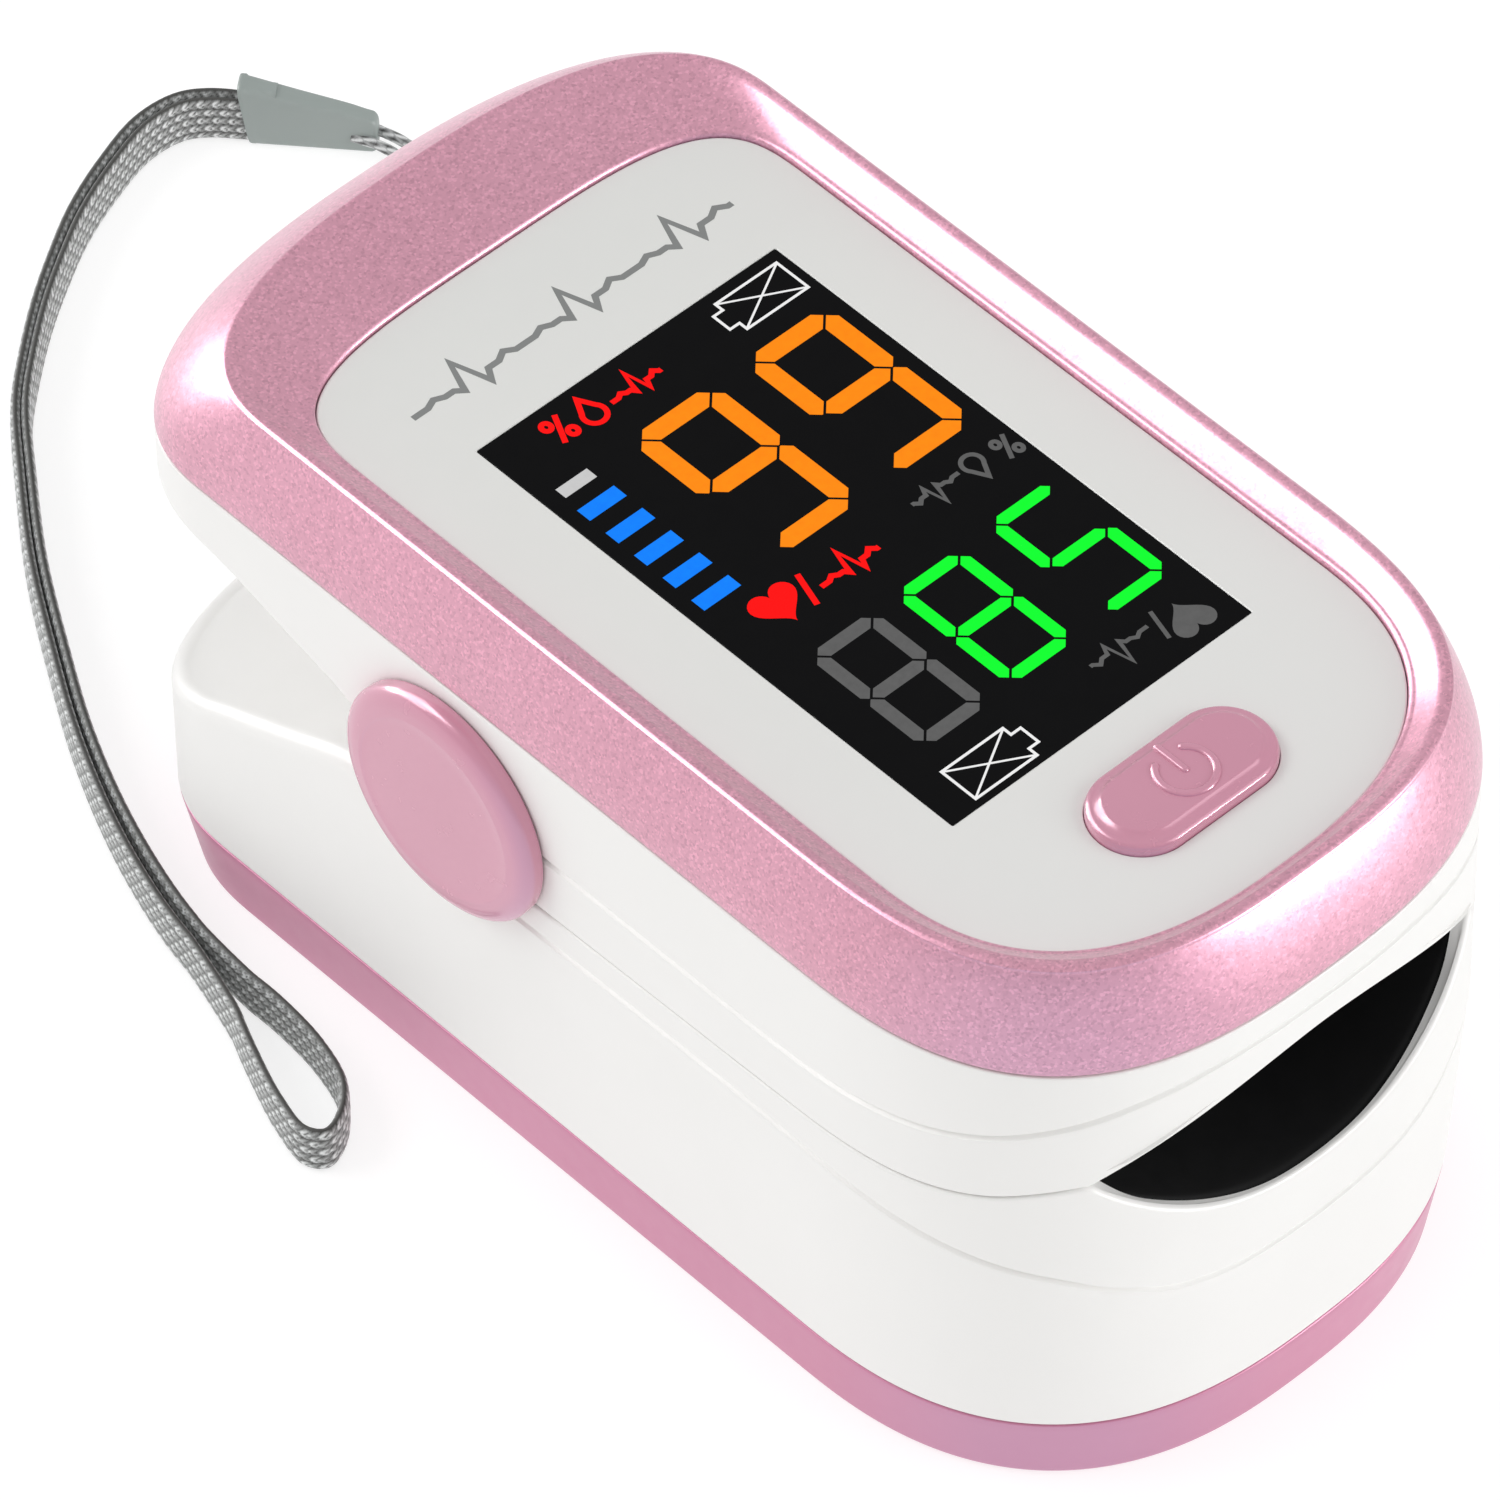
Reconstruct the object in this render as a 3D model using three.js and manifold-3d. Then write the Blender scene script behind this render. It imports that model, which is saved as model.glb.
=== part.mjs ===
// Fingertip pulse oximeter: a two-jaw clip with a sprung pivot, display, power
// button, battery compartment and wrist lanyard.
// Millimetres, +Z up. The finger enters along +Y from the -Y end. The object
// stands on its base at z = 0 and its plan centre is the origin.
import * as THREE from 'three';
import { mergeVertices } from 'three/addons/utils/BufferGeometryUtils.js';
import Module from 'manifold-3d';

const wasm = await Module();
wasm.setup();

// ---------------------------------------------------------------- dimensions
// Plan outlines: half width a; front end at -yF with a cap of depth bF and
// superellipse power nF; rear end at +yR with depth bR and power nR.
const RING   = { a: 15.95, yF: 30.0, bF: 15.2, nF: 2.70, yR: 30.0, bR: 8.5, nR: 2.50 };
const CREST  = { a: 14.60, yF: 28.5, bF: 15.0, nF: 2.90, yR: 26.2, bR: 7.6, nR: 2.60 };
const PANEL  = { a: 12.80, yF: 27.1, bF: 10.8, nF: 2.53, yR: 20.5, bR: 6.6, nR: 3.90 };
const MID    = { a: 15.90, yF: 30.0, bF: 15.1, nF: 2.75, yR: 29.8, bR: 8.7, nR: 2.57 };
const SEAM   = { a: 15.60, yF: 30.0, bF: 15.0, nF: 2.50, yR: 29.75, bR: 8.7, nR: 2.70 };
const BASE   = { a: 15.15, yF: 29.5, bF: 15.0, nF: 2.50, yR: 29.1, bR: 8.9, nR: 2.60 };

const Z_SEAM = 4.0;          // white lower shell to pink base
const Z_MID = 14.0;          // widest level of the lower shell
const Z_RING = 27.1;         // lower edge of the pink bezel
const Z_CREST = 32.2;        // ridge of the bezel
const Z_PANEL = 31.16;       // face panel surface
const GAP = 0.3;             // between pieces that touch
const WALL = 1.5;            // shell wall

const HINGE_Y = 5.9, HINGE_Z = 20.5;       // jaw pivot axis, along X
const EAR_X0 = 12.7, EAR_X1 = 14.1;        // hinge ear of the lower shell
const OPEN_HALF = 11.2, OPEN_Z = 20.1;     // corners of the finger opening
const OPEN_TOP = 23.9, OPEN_BOT = 15.1;    // its highest and lowest points
const PAD_T = 1.0;                         // finger pad thickness
const CAVITY_END = 9.4;                    // fingertip stop
const LIP = 0.5;                           // thin edge of the shells round the opening

const BAY_FLOOR = 26.0;                    // electronics bay
const PCB_Z = 26.7, PCB_T = 0.8;
const MODULE_Z = 27.8, MODULE_T = 1.8;
const PANEL_Z0 = 29.9;
const SCREEN = { x0: -8.4, x1: 8.8, y0: -16.4, y1: 12.35 };
const BUTTON = { x: 0.0, y: -21.2, s: 2.35, r: 2.34, top: 32.0 };

const AAA_R = 5.1, AAA_L = 44.5, AAA_X = 5.35, AAA_Z = 6.8, AAA_Y0 = -25.0;
const DOOR_X = 11.4, DOOR_Y0 = -22.5;
const CAP_R = 5.8, CAP_X0 = 16.1, CAP_T = 1.1;
const LANYARD = { x: 11.9, y: 25.4, r: 0.6, dx: 0.62, dy: 0.785 };   // post and exit direction

// parting line of the two jaws on the sides and front, as [y, z]
const PART = [[-33, 20.3], [-28.0, 20.15], [-26.5, 19.75], [-24.5, 19.1], [-22.0, 18.65],
  [-18, 18.3], [-13.6, 18.1], [-7, 17.9], [0, 17.7], [HINGE_Y, 17.6]];
const UPPER_TAIL = [[8.6, 18.7], [10.6, 19.9], [13.1, 21.15], [16, 22.0], [20.3, 23.2], [25, 24.0], [28, 24.6], [33, 25.4]];
const LOWER_TAIL = [[10, 17.4], [13.2, 17.0], [17, 15.3], [21, 13.5], [25.5, 11.45], [28.5, 10.2], [33, 8.6]];

// ---------------------------------------------------------------- helpers
const N_REAR = 11, N_FRONT = 15;
function outline(p) {
  const pts = [];
  const rear = (t, sx) => [sx * p.a * Math.pow(Math.max(Math.cos(t), 0), 2 / p.nR), p.yR - p.bR + p.bR * Math.pow(Math.sin(t), 2 / p.nR)];
  const front = (t, sx) => [sx * p.a * Math.pow(Math.max(Math.cos(t), 0), 2 / p.nF), -p.yF + p.bF - p.bF * Math.pow(Math.sin(t), 2 / p.nF)];
  for (let i = 0; i <= N_REAR; i++) pts.push(rear((i / N_REAR) * Math.PI / 2, 1));
  for (let i = N_REAR - 1; i >= 0; i--) pts.push(rear((i / N_REAR) * Math.PI / 2, -1));
  for (let i = 0; i <= N_FRONT; i++) pts.push(front((i / N_FRONT) * Math.PI / 2, -1));
  for (let i = N_FRONT - 1; i >= 0; i--) pts.push(front((i / N_FRONT) * Math.PI / 2, 1));
  return pts;
}
const inset = (p, d) => ({ ...p, a: p.a - d, yF: p.yF - d, yR: p.yR - d, bF: Math.max(p.bF - d, 1), bR: Math.max(p.bR - d, 1) });
const mix = (p, q, t) => Object.fromEntries(Object.keys(p).map(k => [k, p[k] * (1 - t) + q[k] * t]));
// body outline at height z, from the base to the bezel's lower edge
function bodyAt(z) {
  if (z <= Z_SEAM) return mix(BASE, SEAM, Math.max(z, 0) / Z_SEAM);
  if (z <= Z_MID) return mix(SEAM, MID, (z - Z_SEAM) / (Z_MID - Z_SEAM));
  return mix(MID, RING, Math.min(z - Z_MID, Z_RING - Z_MID) / (Z_RING - Z_MID));
}
// loft through plan outlines: an extrusion whose rings are moved to each level
function loft(levels) {
  const ref = outline(levels[0].p).map(([x, y]) => new THREE.Vector2(x, y));
  const rings = levels.map(l => outline(l.p));
  const key = (x, y) => Math.fround(x).toFixed(4) + ',' + Math.fround(y).toFixed(4);
  const at = new Map(ref.map((v, i) => [key(v.x, v.y), i]));
  const g = new THREE.ExtrudeGeometry(new THREE.Shape(ref), { depth: 1, steps: levels.length - 1, bevelEnabled: false });
  const pos = g.attributes.position;
  for (let i = 0; i < pos.count; i++) {
    const k = Math.round(pos.getZ(i) * (levels.length - 1));
    const j = at.get(key(pos.getX(i), pos.getY(i)));
    pos.setXYZ(i, rings[k][j][0], rings[k][j][1], levels[k].z);
  }
  return g;
}
const v2 = pts => pts.map(([x, y]) => new THREE.Vector2(x, y));
function prismZ(pts, z0, z1) {
  const g = new THREE.ExtrudeGeometry(new THREE.Shape(v2(pts)), { depth: z1 - z0, steps: 1, bevelEnabled: false });
  return g.translate(0, 0, z0);
}
function prismX(pts, x0, x1) {          // pts are [y, z]
  const g = new THREE.ExtrudeGeometry(new THREE.Shape(v2(pts)), { depth: x1 - x0, steps: 1, bevelEnabled: false });
  g.applyMatrix4(new THREE.Matrix4().makeBasis(new THREE.Vector3(0, 1, 0), new THREE.Vector3(0, 0, 1), new THREE.Vector3(1, 0, 0)));
  return g.translate(x0, 0, 0);
}
function prismY(pts, y0, y1) {          // pts are [x, z]
  const g = new THREE.ExtrudeGeometry(new THREE.Shape(v2(pts)), { depth: y1 - y0, steps: 1, bevelEnabled: false });
  g.applyMatrix4(new THREE.Matrix4().makeBasis(new THREE.Vector3(1, 0, 0), new THREE.Vector3(0, 0, 1), new THREE.Vector3(0, -1, 0)));
  return g.translate(0, y1, 0);
}
function box(x0, x1, y0, y1, z0, z1) {
  return new THREE.BoxGeometry(x1 - x0, y1 - y0, z1 - z0).translate((x0 + x1) / 2, (y0 + y1) / 2, (z0 + z1) / 2);
}
function cylX(r, x0, x1, y, z, seg = 20) {
  return new THREE.CylinderGeometry(r, r, x1 - x0, seg).rotateZ(Math.PI / 2).translate((x0 + x1) / 2, y, z);
}
function cylZ(r, z0, z1, x, y, seg = 16) {
  return new THREE.CylinderGeometry(r, r, z1 - z0, seg).rotateX(Math.PI / 2).translate(x, y, (z0 + z1) / 2);
}
function solid(g) {
  const c = g.clone();
  c.deleteAttribute('normal'); c.deleteAttribute('uv');
  const m = mergeVertices(c, 1e-4);
  const tri = m.index ? m.index.array : Uint32Array.from({ length: m.attributes.position.count }, (_, i) => i);
  return new wasm.Manifold(new wasm.Mesh({ numProp: 3, vertProperties: Float32Array.from(m.attributes.position.array), triVerts: Uint32Array.from(tri) }));
}
function geometry(man) {
  const m = man.getMesh();
  const g = new THREE.BufferGeometry();
  g.setAttribute('position', new THREE.BufferAttribute(Float32Array.from(m.vertProperties), 3));
  g.setIndex(new THREE.BufferAttribute(Uint32Array.from(m.triVerts), 1));
  g.computeVertexNormals();
  return g;
}
const cut = (base, ...tools) => tools.reduce((a, t) => a.subtract(solid(t)), base);
const join = (base, ...more) => more.reduce((a, t) => a.add(solid(t)), base);

const object = new THREE.Group();
object.name = 'fingertip_pulse_oximeter';
const upperJaw = new THREE.Group(), lowerJaw = new THREE.Group(), lanyard = new THREE.Group();
object.add(lowerJaw, upperJaw, lanyard);
function add(group, name, geo, color, roughness = 0.5, metalness = 0) {
  const mesh = new THREE.Mesh(geo instanceof THREE.BufferGeometry ? geo : geometry(geo),
    new THREE.MeshStandardMaterial({ color, roughness, metalness }));
  mesh.name = name;
  group.add(mesh);
  return mesh;
}
const WHITE = 0xf4f4f2, PINK = 0xd79bb1, PANELGREY = 0xdedfdc, BLACK = 0x121212, STEEL = 0xb9bcc0, GREEN = 0x1c6b43, GREY = 0x9aa3a0;

// the finger opening seen from the front, as [x, z]
const openTop = x => OPEN_Z + (OPEN_TOP - OPEN_Z) * Math.pow(Math.max(1 - (x / OPEN_HALF) ** 2, 0), 0.9);
const openBot = x => OPEN_Z - (OPEN_Z - OPEN_BOT) * Math.pow(Math.max(1 - (x / OPEN_HALF) ** 2, 0), 0.9);
const span = (half, n = 18) => Array.from({ length: n + 1 }, (_, i) => -half + 2 * half * i / n);
// archway above the parting line, raised by d; trough below it, lowered by d
const archPoly = (half, d) => [[-half, 12], [half, 12], ...span(half).reverse().map(x => [x, openTop(x) + d])];
const troughPoly = (half, d) => [...span(half).map(x => [x, openBot(x) - d]), [half, 29], [-half, 29]];
const PAD_HALF = 10.3;
// seat of the pads at the mouth, behind a thin edge of shell
const lining = poly => geometry(solid(prismY(poly, -34, -27)).intersect(solid(loft([{ p: inset(MID, LIP), z: 8 }, { p: inset(MID, LIP), z: 32 }]))));

// ---------------------------------------------------------------- upper jaw
const upperCut = [[-34, 10], [34, 10], [34, 25.5], ...UPPER_TAIL.slice().reverse(), ...PART.slice().reverse().map(([y, z]) => [y, z + 0.15]), [-34, 20.45]];
{
  const outer = solid(loft([17, 20, 24, Z_RING].map(z => ({ p: bodyAt(z), z }))));
  let s = cut(outer,
    prismX(upperCut, -20, 20),
    prismY(archPoly(OPEN_HALF, 0), -34, -26.6),                 // mouth of the opening
    prismY(archPoly(PAD_HALF + GAP, PAD_T + GAP), -27.2, CAVITY_END + GAP),
    lining(archPoly(PAD_HALF + GAP, PAD_T + GAP)),
    loft([{ p: inset(RING, WALL + 0.2), z: BAY_FLOOR }, { p: inset(RING, WALL + 0.2), z: 28 }]));
  for (const sx of [-1, 1]) {
    const b = (x0, x1, ...r) => sx > 0 ? box(x0, x1, ...r) : box(-x1, -x0, ...r);
    const c = (r, x0, x1) => sx > 0 ? cylX(r, x0, x1, HINGE_Y, HINGE_Z, 24) : cylX(r, -x1, -x0, HINGE_Y, HINGE_Z, 24);
    s = cut(s,
      b(EAR_X0 - GAP, EAR_X1 + GAP, 0.2, 12.3, 14, 25.0),       // slot for the hinge ear
      b(9.8, EAR_X0, 1.3, 10.6, 14, 24.9),                      // room for the torsion spring
      c(1.55, 13, 18));                                         // bore for the hinge pin
  }
  s = cut(s, box(-1.9, 1.9, -9.9, -6.1, 24, 27),                // window for the emitter
    box(-1.9, 1.9, 10.3, 11.6, 18, 27));                        // slot for the flex cable
  add(upperJaw, 'upper_shell', s, WHITE, 0.35);
}
{
  const outer = solid(loft([
    { p: RING, z: Z_RING + GAP }, { p: mix(RING, CREST, 0.22), z: 29.2 }, { p: mix(RING, CREST, 0.75), z: 31.6 },
    { p: mix(RING, CREST, 1.0), z: Z_CREST }]));
  const bowl = loft([{ p: inset(PANEL, -0.25), z: Z_PANEL + 0.05 }, { p: inset(PANEL, -0.45), z: Z_PANEL + 0.25 },
    { p: inset(CREST, 0.35), z: Z_CREST + 0.02 }, { p: inset(CREST, 0.35), z: Z_CREST + 1 }]);
  const hole = loft([{ p: inset(PANEL, -0.25), z: 26 }, { p: inset(PANEL, -0.25), z: 33 }]);
  const under = loft([{ p: inset(RING, 1.8), z: 26 }, { p: inset(mix(RING, CREST, 0.5), 1.6), z: 29.6 }]);
  add(upperJaw, 'top_bezel', cut(outer, bowl, hole, under), PINK, 0.32, 0.35);
}
{
  const s = cut(solid(loft([{ p: PANEL, z: PANEL_Z0 }, { p: PANEL, z: Z_PANEL }])),
    box(SCREEN.x0 - GAP, SCREEN.x1 + GAP, SCREEN.y0 - GAP, SCREEN.y1 + GAP, 29, 32),
    prismZ(stadium(BUTTON.s, BUTTON.r + GAP), 29, 32));
  add(upperJaw, 'face_panel', s, PANELGREY, 0.3);
}
function stadium(s, r, n = 10, cx = BUTTON.x, cy = BUTTON.y) {
  const pts = [];
  for (let i = 0; i <= n; i++) { const t = -Math.PI / 2 + Math.PI * i / n; pts.push([cx + s + r * Math.cos(t), cy + r * Math.sin(t)]); }
  for (let i = 0; i <= n; i++) { const t = Math.PI / 2 + Math.PI * i / n; pts.push([cx - s + r * Math.cos(t), cy + r * Math.sin(t)]); }
  return pts;
}
add(upperJaw, 'display_window', box(SCREEN.x0, SCREEN.x1, SCREEN.y0, SCREEN.y1, 30.1, Z_PANEL - 0.05), BLACK, 0.12);
add(upperJaw, 'display_module', box(-9.4, 9.4, -17.3, 12.9, MODULE_Z, MODULE_Z + MODULE_T), 0x1b1b1d, 0.5);
{
  const top = solid(prismZ(stadium(BUTTON.s, BUTTON.r), 29.5, BUTTON.top - 0.45));
  let s = join(top, prismZ(stadium(BUTTON.s, BUTTON.r - 0.45), BUTTON.top - 0.5, BUTTON.top),
    prismZ(stadium(BUTTON.s + 0.4, BUTTON.r + 0.6), 29.1, 29.6),            // retaining flange
    prismZ(stadium(0.4, 0.9), 28.95, 29.2));                                // actuator foot
  add(upperJaw, 'power_button', s, PINK, 0.18, 0.1);
}
{
  const pcb = solid(prismZ(outline({ a: 11.6, yF: 25.6, bF: 9, nF: 2.5, yR: 19, bR: 3, nR: 4 }), PCB_Z, PCB_Z + PCB_T));
  add(upperJaw, 'main_pcb', cut(pcb, cylZ(0.8, 26, 28, -9.4, 16.6), cylZ(0.8, 26, 28, 9.4, 16.6)), GREEN, 0.5);
}
for (const [n, x] of [['pcb_screw_left', -9.4], ['pcb_screw_right', 9.4]]) {
  add(upperJaw, n, join(solid(cylZ(0.5, 26.3, 27.9, x, 16.6, 12)), cylZ(1.3, 27.8, 28.5, x, 16.6, 12)), STEEL, 0.3, 0.9);
}
add(upperJaw, 'tact_switch', join(solid(box(-2.3, 2.1, -22.8, -19.6, 27.8, 28.3)), cylZ(0.8, 28.2, 28.5, -0.1, -21.2)), 0x2a2a2c, 0.5);
add(upperJaw, 'led_emitter', box(-1.5, 1.5, -9.4, -6.6, 25.3, 26.4), 0xe9e4d8, 0.3);
add(upperJaw, 'microcontroller', box(-2.8, 2.8, 13.5, 18.4, 27.8, 28.7), 0x1a1a1c, 0.45);
{
  // silicone lining of the archway, with the light window
  const poly = [...span(PAD_HALF).map(x => [x, openTop(x)]), ...span(PAD_HALF).reverse().map(x => [x, openTop(x) + PAD_T])];
  let s = join(solid(prismY(poly, -29.5, CAVITY_END - 1)),
    prismY([[-8.6, 20.9], [8.6, 20.9], ...span(8.6).reverse().map(x => [x, openTop(x) + PAD_T])], CAVITY_END - 1.2, CAVITY_END));
  s = s.intersect(solid(loft([{ p: inset(MID, LIP + GAP), z: 12 }, { p: inset(MID, LIP + GAP), z: 29 }])));
  s = cut(s, box(-1.7, 1.7, -9.6, -6.4, 22, 27));
  for (const sx of [-1, 1]) s = cut(s, sx > 0 ? box(9.5, 12, 1.0, 10.9, 14, 26) : box(-12, -9.5, 1.0, 10.9, 14, 26));
  add(upperJaw, 'upper_finger_pad', s, 0x0d0d0e, 0.75);
}

// ---------------------------------------------------------------- lower jaw
const lowerCut = [[-34, 35], [34, 35], [34, 8.3], ...LOWER_TAIL.slice().reverse(), ...PART.slice().reverse().map(([y, z]) => [y, z - 0.15]), [-34, 20.15]];
{
  const outer = solid(loft([Z_SEAM + GAP / 2, Z_MID, 20.3].map(z => ({ p: bodyAt(z), z }))));
  let s = cut(outer,
    prismX(lowerCut, -20, 20),
    prismY(troughPoly(OPEN_HALF, 0), -34, -26.6),
    prismY(troughPoly(PAD_HALF + GAP, PAD_T + GAP), -27.2, CAVITY_END + GAP),
    lining(troughPoly(PAD_HALF + GAP, PAD_T + GAP)));
  // hinge ears
  for (const sx of [-1, 1]) {
    const ear = [[1.2, 12.5], [10.6, 12.5], [10.2, 19.5], [9.6, 22.0], [7.8, 23.6], [5.9, 24.1], [4.0, 23.6], [2.2, 22.0], [1.6, 19.5]];
    s = join(s, sx > 0 ? prismX(ear, EAR_X0, EAR_X1) : prismX(ear, -EAR_X1, -EAR_X0));
    s = cut(s, sx > 0 ? cylX(1.55, 12, 15, HINGE_Y, HINGE_Z, 24) : cylX(1.55, -15, -12, HINGE_Y, HINGE_Z, 24));
    s = cut(s, sx > 0 ? box(EAR_X1, EAR_X1 + 0.45, 0.2, 12.3, 17.0, 26) : box(-EAR_X1 - 0.45, -EAR_X1, 0.2, 12.3, 17.0, 26));
    // room for the torsion spring beside the fingertip
    s = cut(s, sx > 0 ? box(9.8, EAR_X0, 1.3, 10.6, 15.4, 26) : box(-EAR_X0, -9.8, 1.3, 10.6, 15.4, 26));
  }
  // battery bay, open below
  s = cut(s,
    box(-10.9, 10.9, -25.95, 19.9, 3, 12.3),
    box(-9.6, 9.6, 19.8, 23.2, 3, 10.4));
  // sensor pocket under the pad
  s = cut(s, box(-3.9, 3.9, -11.2, -4.8, 12.95, 18));
  // groove and slot for the flex cable
  s = cut(s, box(-1.9, 1.9, -5.2, 11.6, 13.0, 14.2), box(-1.9, 1.9, 10.3, 11.6, 13.0, 19));
  // lanyard recess at the rear corner
  const at = (u, w) => [LANYARD.x + u * LANYARD.dx + w * LANYARD.dy, LANYARD.y + u * LANYARD.dy - w * LANYARD.dx];
  s = cut(s, prismZ([at(-1.9, 1.9), at(6, 1.9), at(6, -1.9), at(-1.9, -1.9)], 5.4, 8.6), cylZ(LANYARD.r + GAP, 4.6, 9.5, LANYARD.x, LANYARD.y));
  // screw bores for the base cover
  for (const [x, y] of [[-12.6, 18.5], [12.6, 18.5], [-12.6, -12.5], [12.6, -12.5]]) s = cut(s, cylZ(0.8, 3, 11, x, y, 12));
  add(lowerJaw, 'lower_shell', s, WHITE, 0.35);
}
{
  const outer = solid(loft([{ p: inset(BASE, 0.7), z: 0 }, { p: BASE, z: 0.8 }, { p: mix(BASE, SEAM, 0.8), z: 2.6 }, { p: SEAM, z: Z_SEAM - GAP / 2 }]));
  const tray = cut(outer, loft([{ p: inset(BASE, WALL), z: 1.4 }, { p: inset(BASE, WALL), z: 5 }]));
  // the bottom, with the doorway cut through floor and rear wall
  let cover = cut(tray, box(-DOOR_X, DOOR_X, DOOR_Y0, 33, -1, 6));
  const screws = [[-12.6, 18.5], [12.6, 18.5], [-12.6, -12.5], [12.6, -12.5]];
  // bosses for the screws
  for (const [x, y] of screws) cover = join(cover, cylZ(1.5, 0.9, 3.8, x, y, 14));
  cover = cover.intersect(outer);
  cover = cut(cover, box(-DOOR_X, DOOR_X, DOOR_Y0, 33, -1, 6));
  for (const [x, y] of screws) cover = cut(cover, cylZ(0.75, -1, 5, x, y, 12), cylZ(1.2, -1, 0.9, x, y, 14));
  add(lowerJaw, 'base_cover', cover, PINK, 0.3, 0.2);
  // sliding battery door: floor plate plus the rear wall
  let door = tray.intersect(solid(box(-DOOR_X + GAP / 2 + 0.1, DOOR_X - GAP / 2 - 0.1, DOOR_Y0 + GAP, 33, 0.25, 6)));
  door = cut(door, box(-7, 7, 20.0, 21.0, -1, 0.7), box(-7, 7, 21.8, 22.8, -1, 0.7), box(-7, 7, 23.6, 24.6, -1, 0.7));
  add(lowerJaw, 'battery_door', door, PINK, 0.3, 0.2);
  screws.forEach(([x, y], i) => {
    add(lowerJaw, 'base_screw_' + (i + 1), join(solid(cylZ(0.45, 0.8, 9.5, x, y, 12)), cylZ(0.9, 0.35, 0.85, x, y, 12)), STEEL, 0.3, 0.9);
  });
}
{
  const poly = [...span(PAD_HALF).map(x => [x, openBot(x) - PAD_T]), ...span(PAD_HALF).reverse().map(x => [x, openBot(x)])];
  let s = join(solid(prismY(poly, -29.5, CAVITY_END - 1)),
    prismY([...span(8.6).map(x => [x, openBot(x) - PAD_T]), [8.6, 17.3], [-8.6, 17.3]], CAVITY_END - 1.2, CAVITY_END));
  s = s.intersect(solid(loft([{ p: inset(MID, LIP + GAP), z: 11 }, { p: inset(MID, LIP + GAP), z: 25 }])));
  s = cut(s, box(-1.8, 1.8, -9.8, -6.2, 10, 18));
  for (const sx of [-1, 1]) s = cut(s, sx > 0 ? box(9.5, 12, 1.0, 10.9, 14, 26) : box(-12, -9.5, 1.0, 10.9, 14, 26));
  add(lowerJaw, 'lower_finger_pad', s, 0x0d0d0e, 0.75);
}
add(lowerJaw, 'sensor_board', box(-3.5, 3.5, -10.8, -5.2, 13.25, 13.6), GREEN, 0.5);
add(lowerJaw, 'flex_cable', prismX([[-4.9, 13.3], [11.1, 13.3], [11.1, 26.4], [10.8, 26.4], [10.8, 13.6], [-4.9, 13.6]], -1.5, 1.5), 0x3a2f1c, 0.4);
add(lowerJaw, 'photodiode', box(-1.4, 1.4, -9.4, -6.6, 13.9, 14.7), 0x2b2230, 0.2);

// two AAA cells side by side
for (const [n, x] of [['battery_left', -AAA_X], ['battery_right', AAA_X]]) {
  const profile = v2([[0, 0], [4.6, 0], [AAA_R, 0.4], [AAA_R, AAA_L - 1.5], [4.7, AAA_L - 1.0], [1.9, AAA_L - 1.0], [1.9, AAA_L], [0, AAA_L]]);
  const g = new THREE.LatheGeometry(profile, 24);
  if (x > 0) g.rotateX(Math.PI).translate(0, AAA_L, 0);
  add(lowerJaw, n, g.translate(x, AAA_Y0, AAA_Z), 0x2f6f9f, 0.35, 0.3);
}
add(lowerJaw, 'front_contact_bridge', box(-9.6, 9.6, -25.65, -25.35, 4.2, 10.2), STEEL, 0.3, 0.9);
for (const [n, x] of [['rear_contact_left', -AAA_X], ['rear_contact_right', AAA_X]])
  add(lowerJaw, n, box(x - 3.6, x + 3.6, 22.5, 22.85, 4.0, 10.0), STEEL, 0.3, 0.9);
for (const [n, x] of [['battery_spring_left', -AAA_X], ['battery_spring_right', AAA_X]]) {
  class Cone extends THREE.Curve {
    getPoint(t, o = new THREE.Vector3()) {
      const a = t * 2.5 * 2 * Math.PI, r = 1.7 + 1.2 * t;
      return o.set(x + r * Math.cos(a), 19.95 + 2.1 * t, AAA_Z + r * Math.sin(a));
    }
  }
  const sec = Array.from({ length: 6 }, (_, i) => [0.22 * Math.cos(i * Math.PI / 3), 0.22 * Math.sin(i * Math.PI / 3)]);
  add(lowerJaw, n, new THREE.ExtrudeGeometry(new THREE.Shape(v2(sec)), { extrudePath: new Cone(), steps: 32, bevelEnabled: false }), STEEL, 0.3, 0.9);
}

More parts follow.
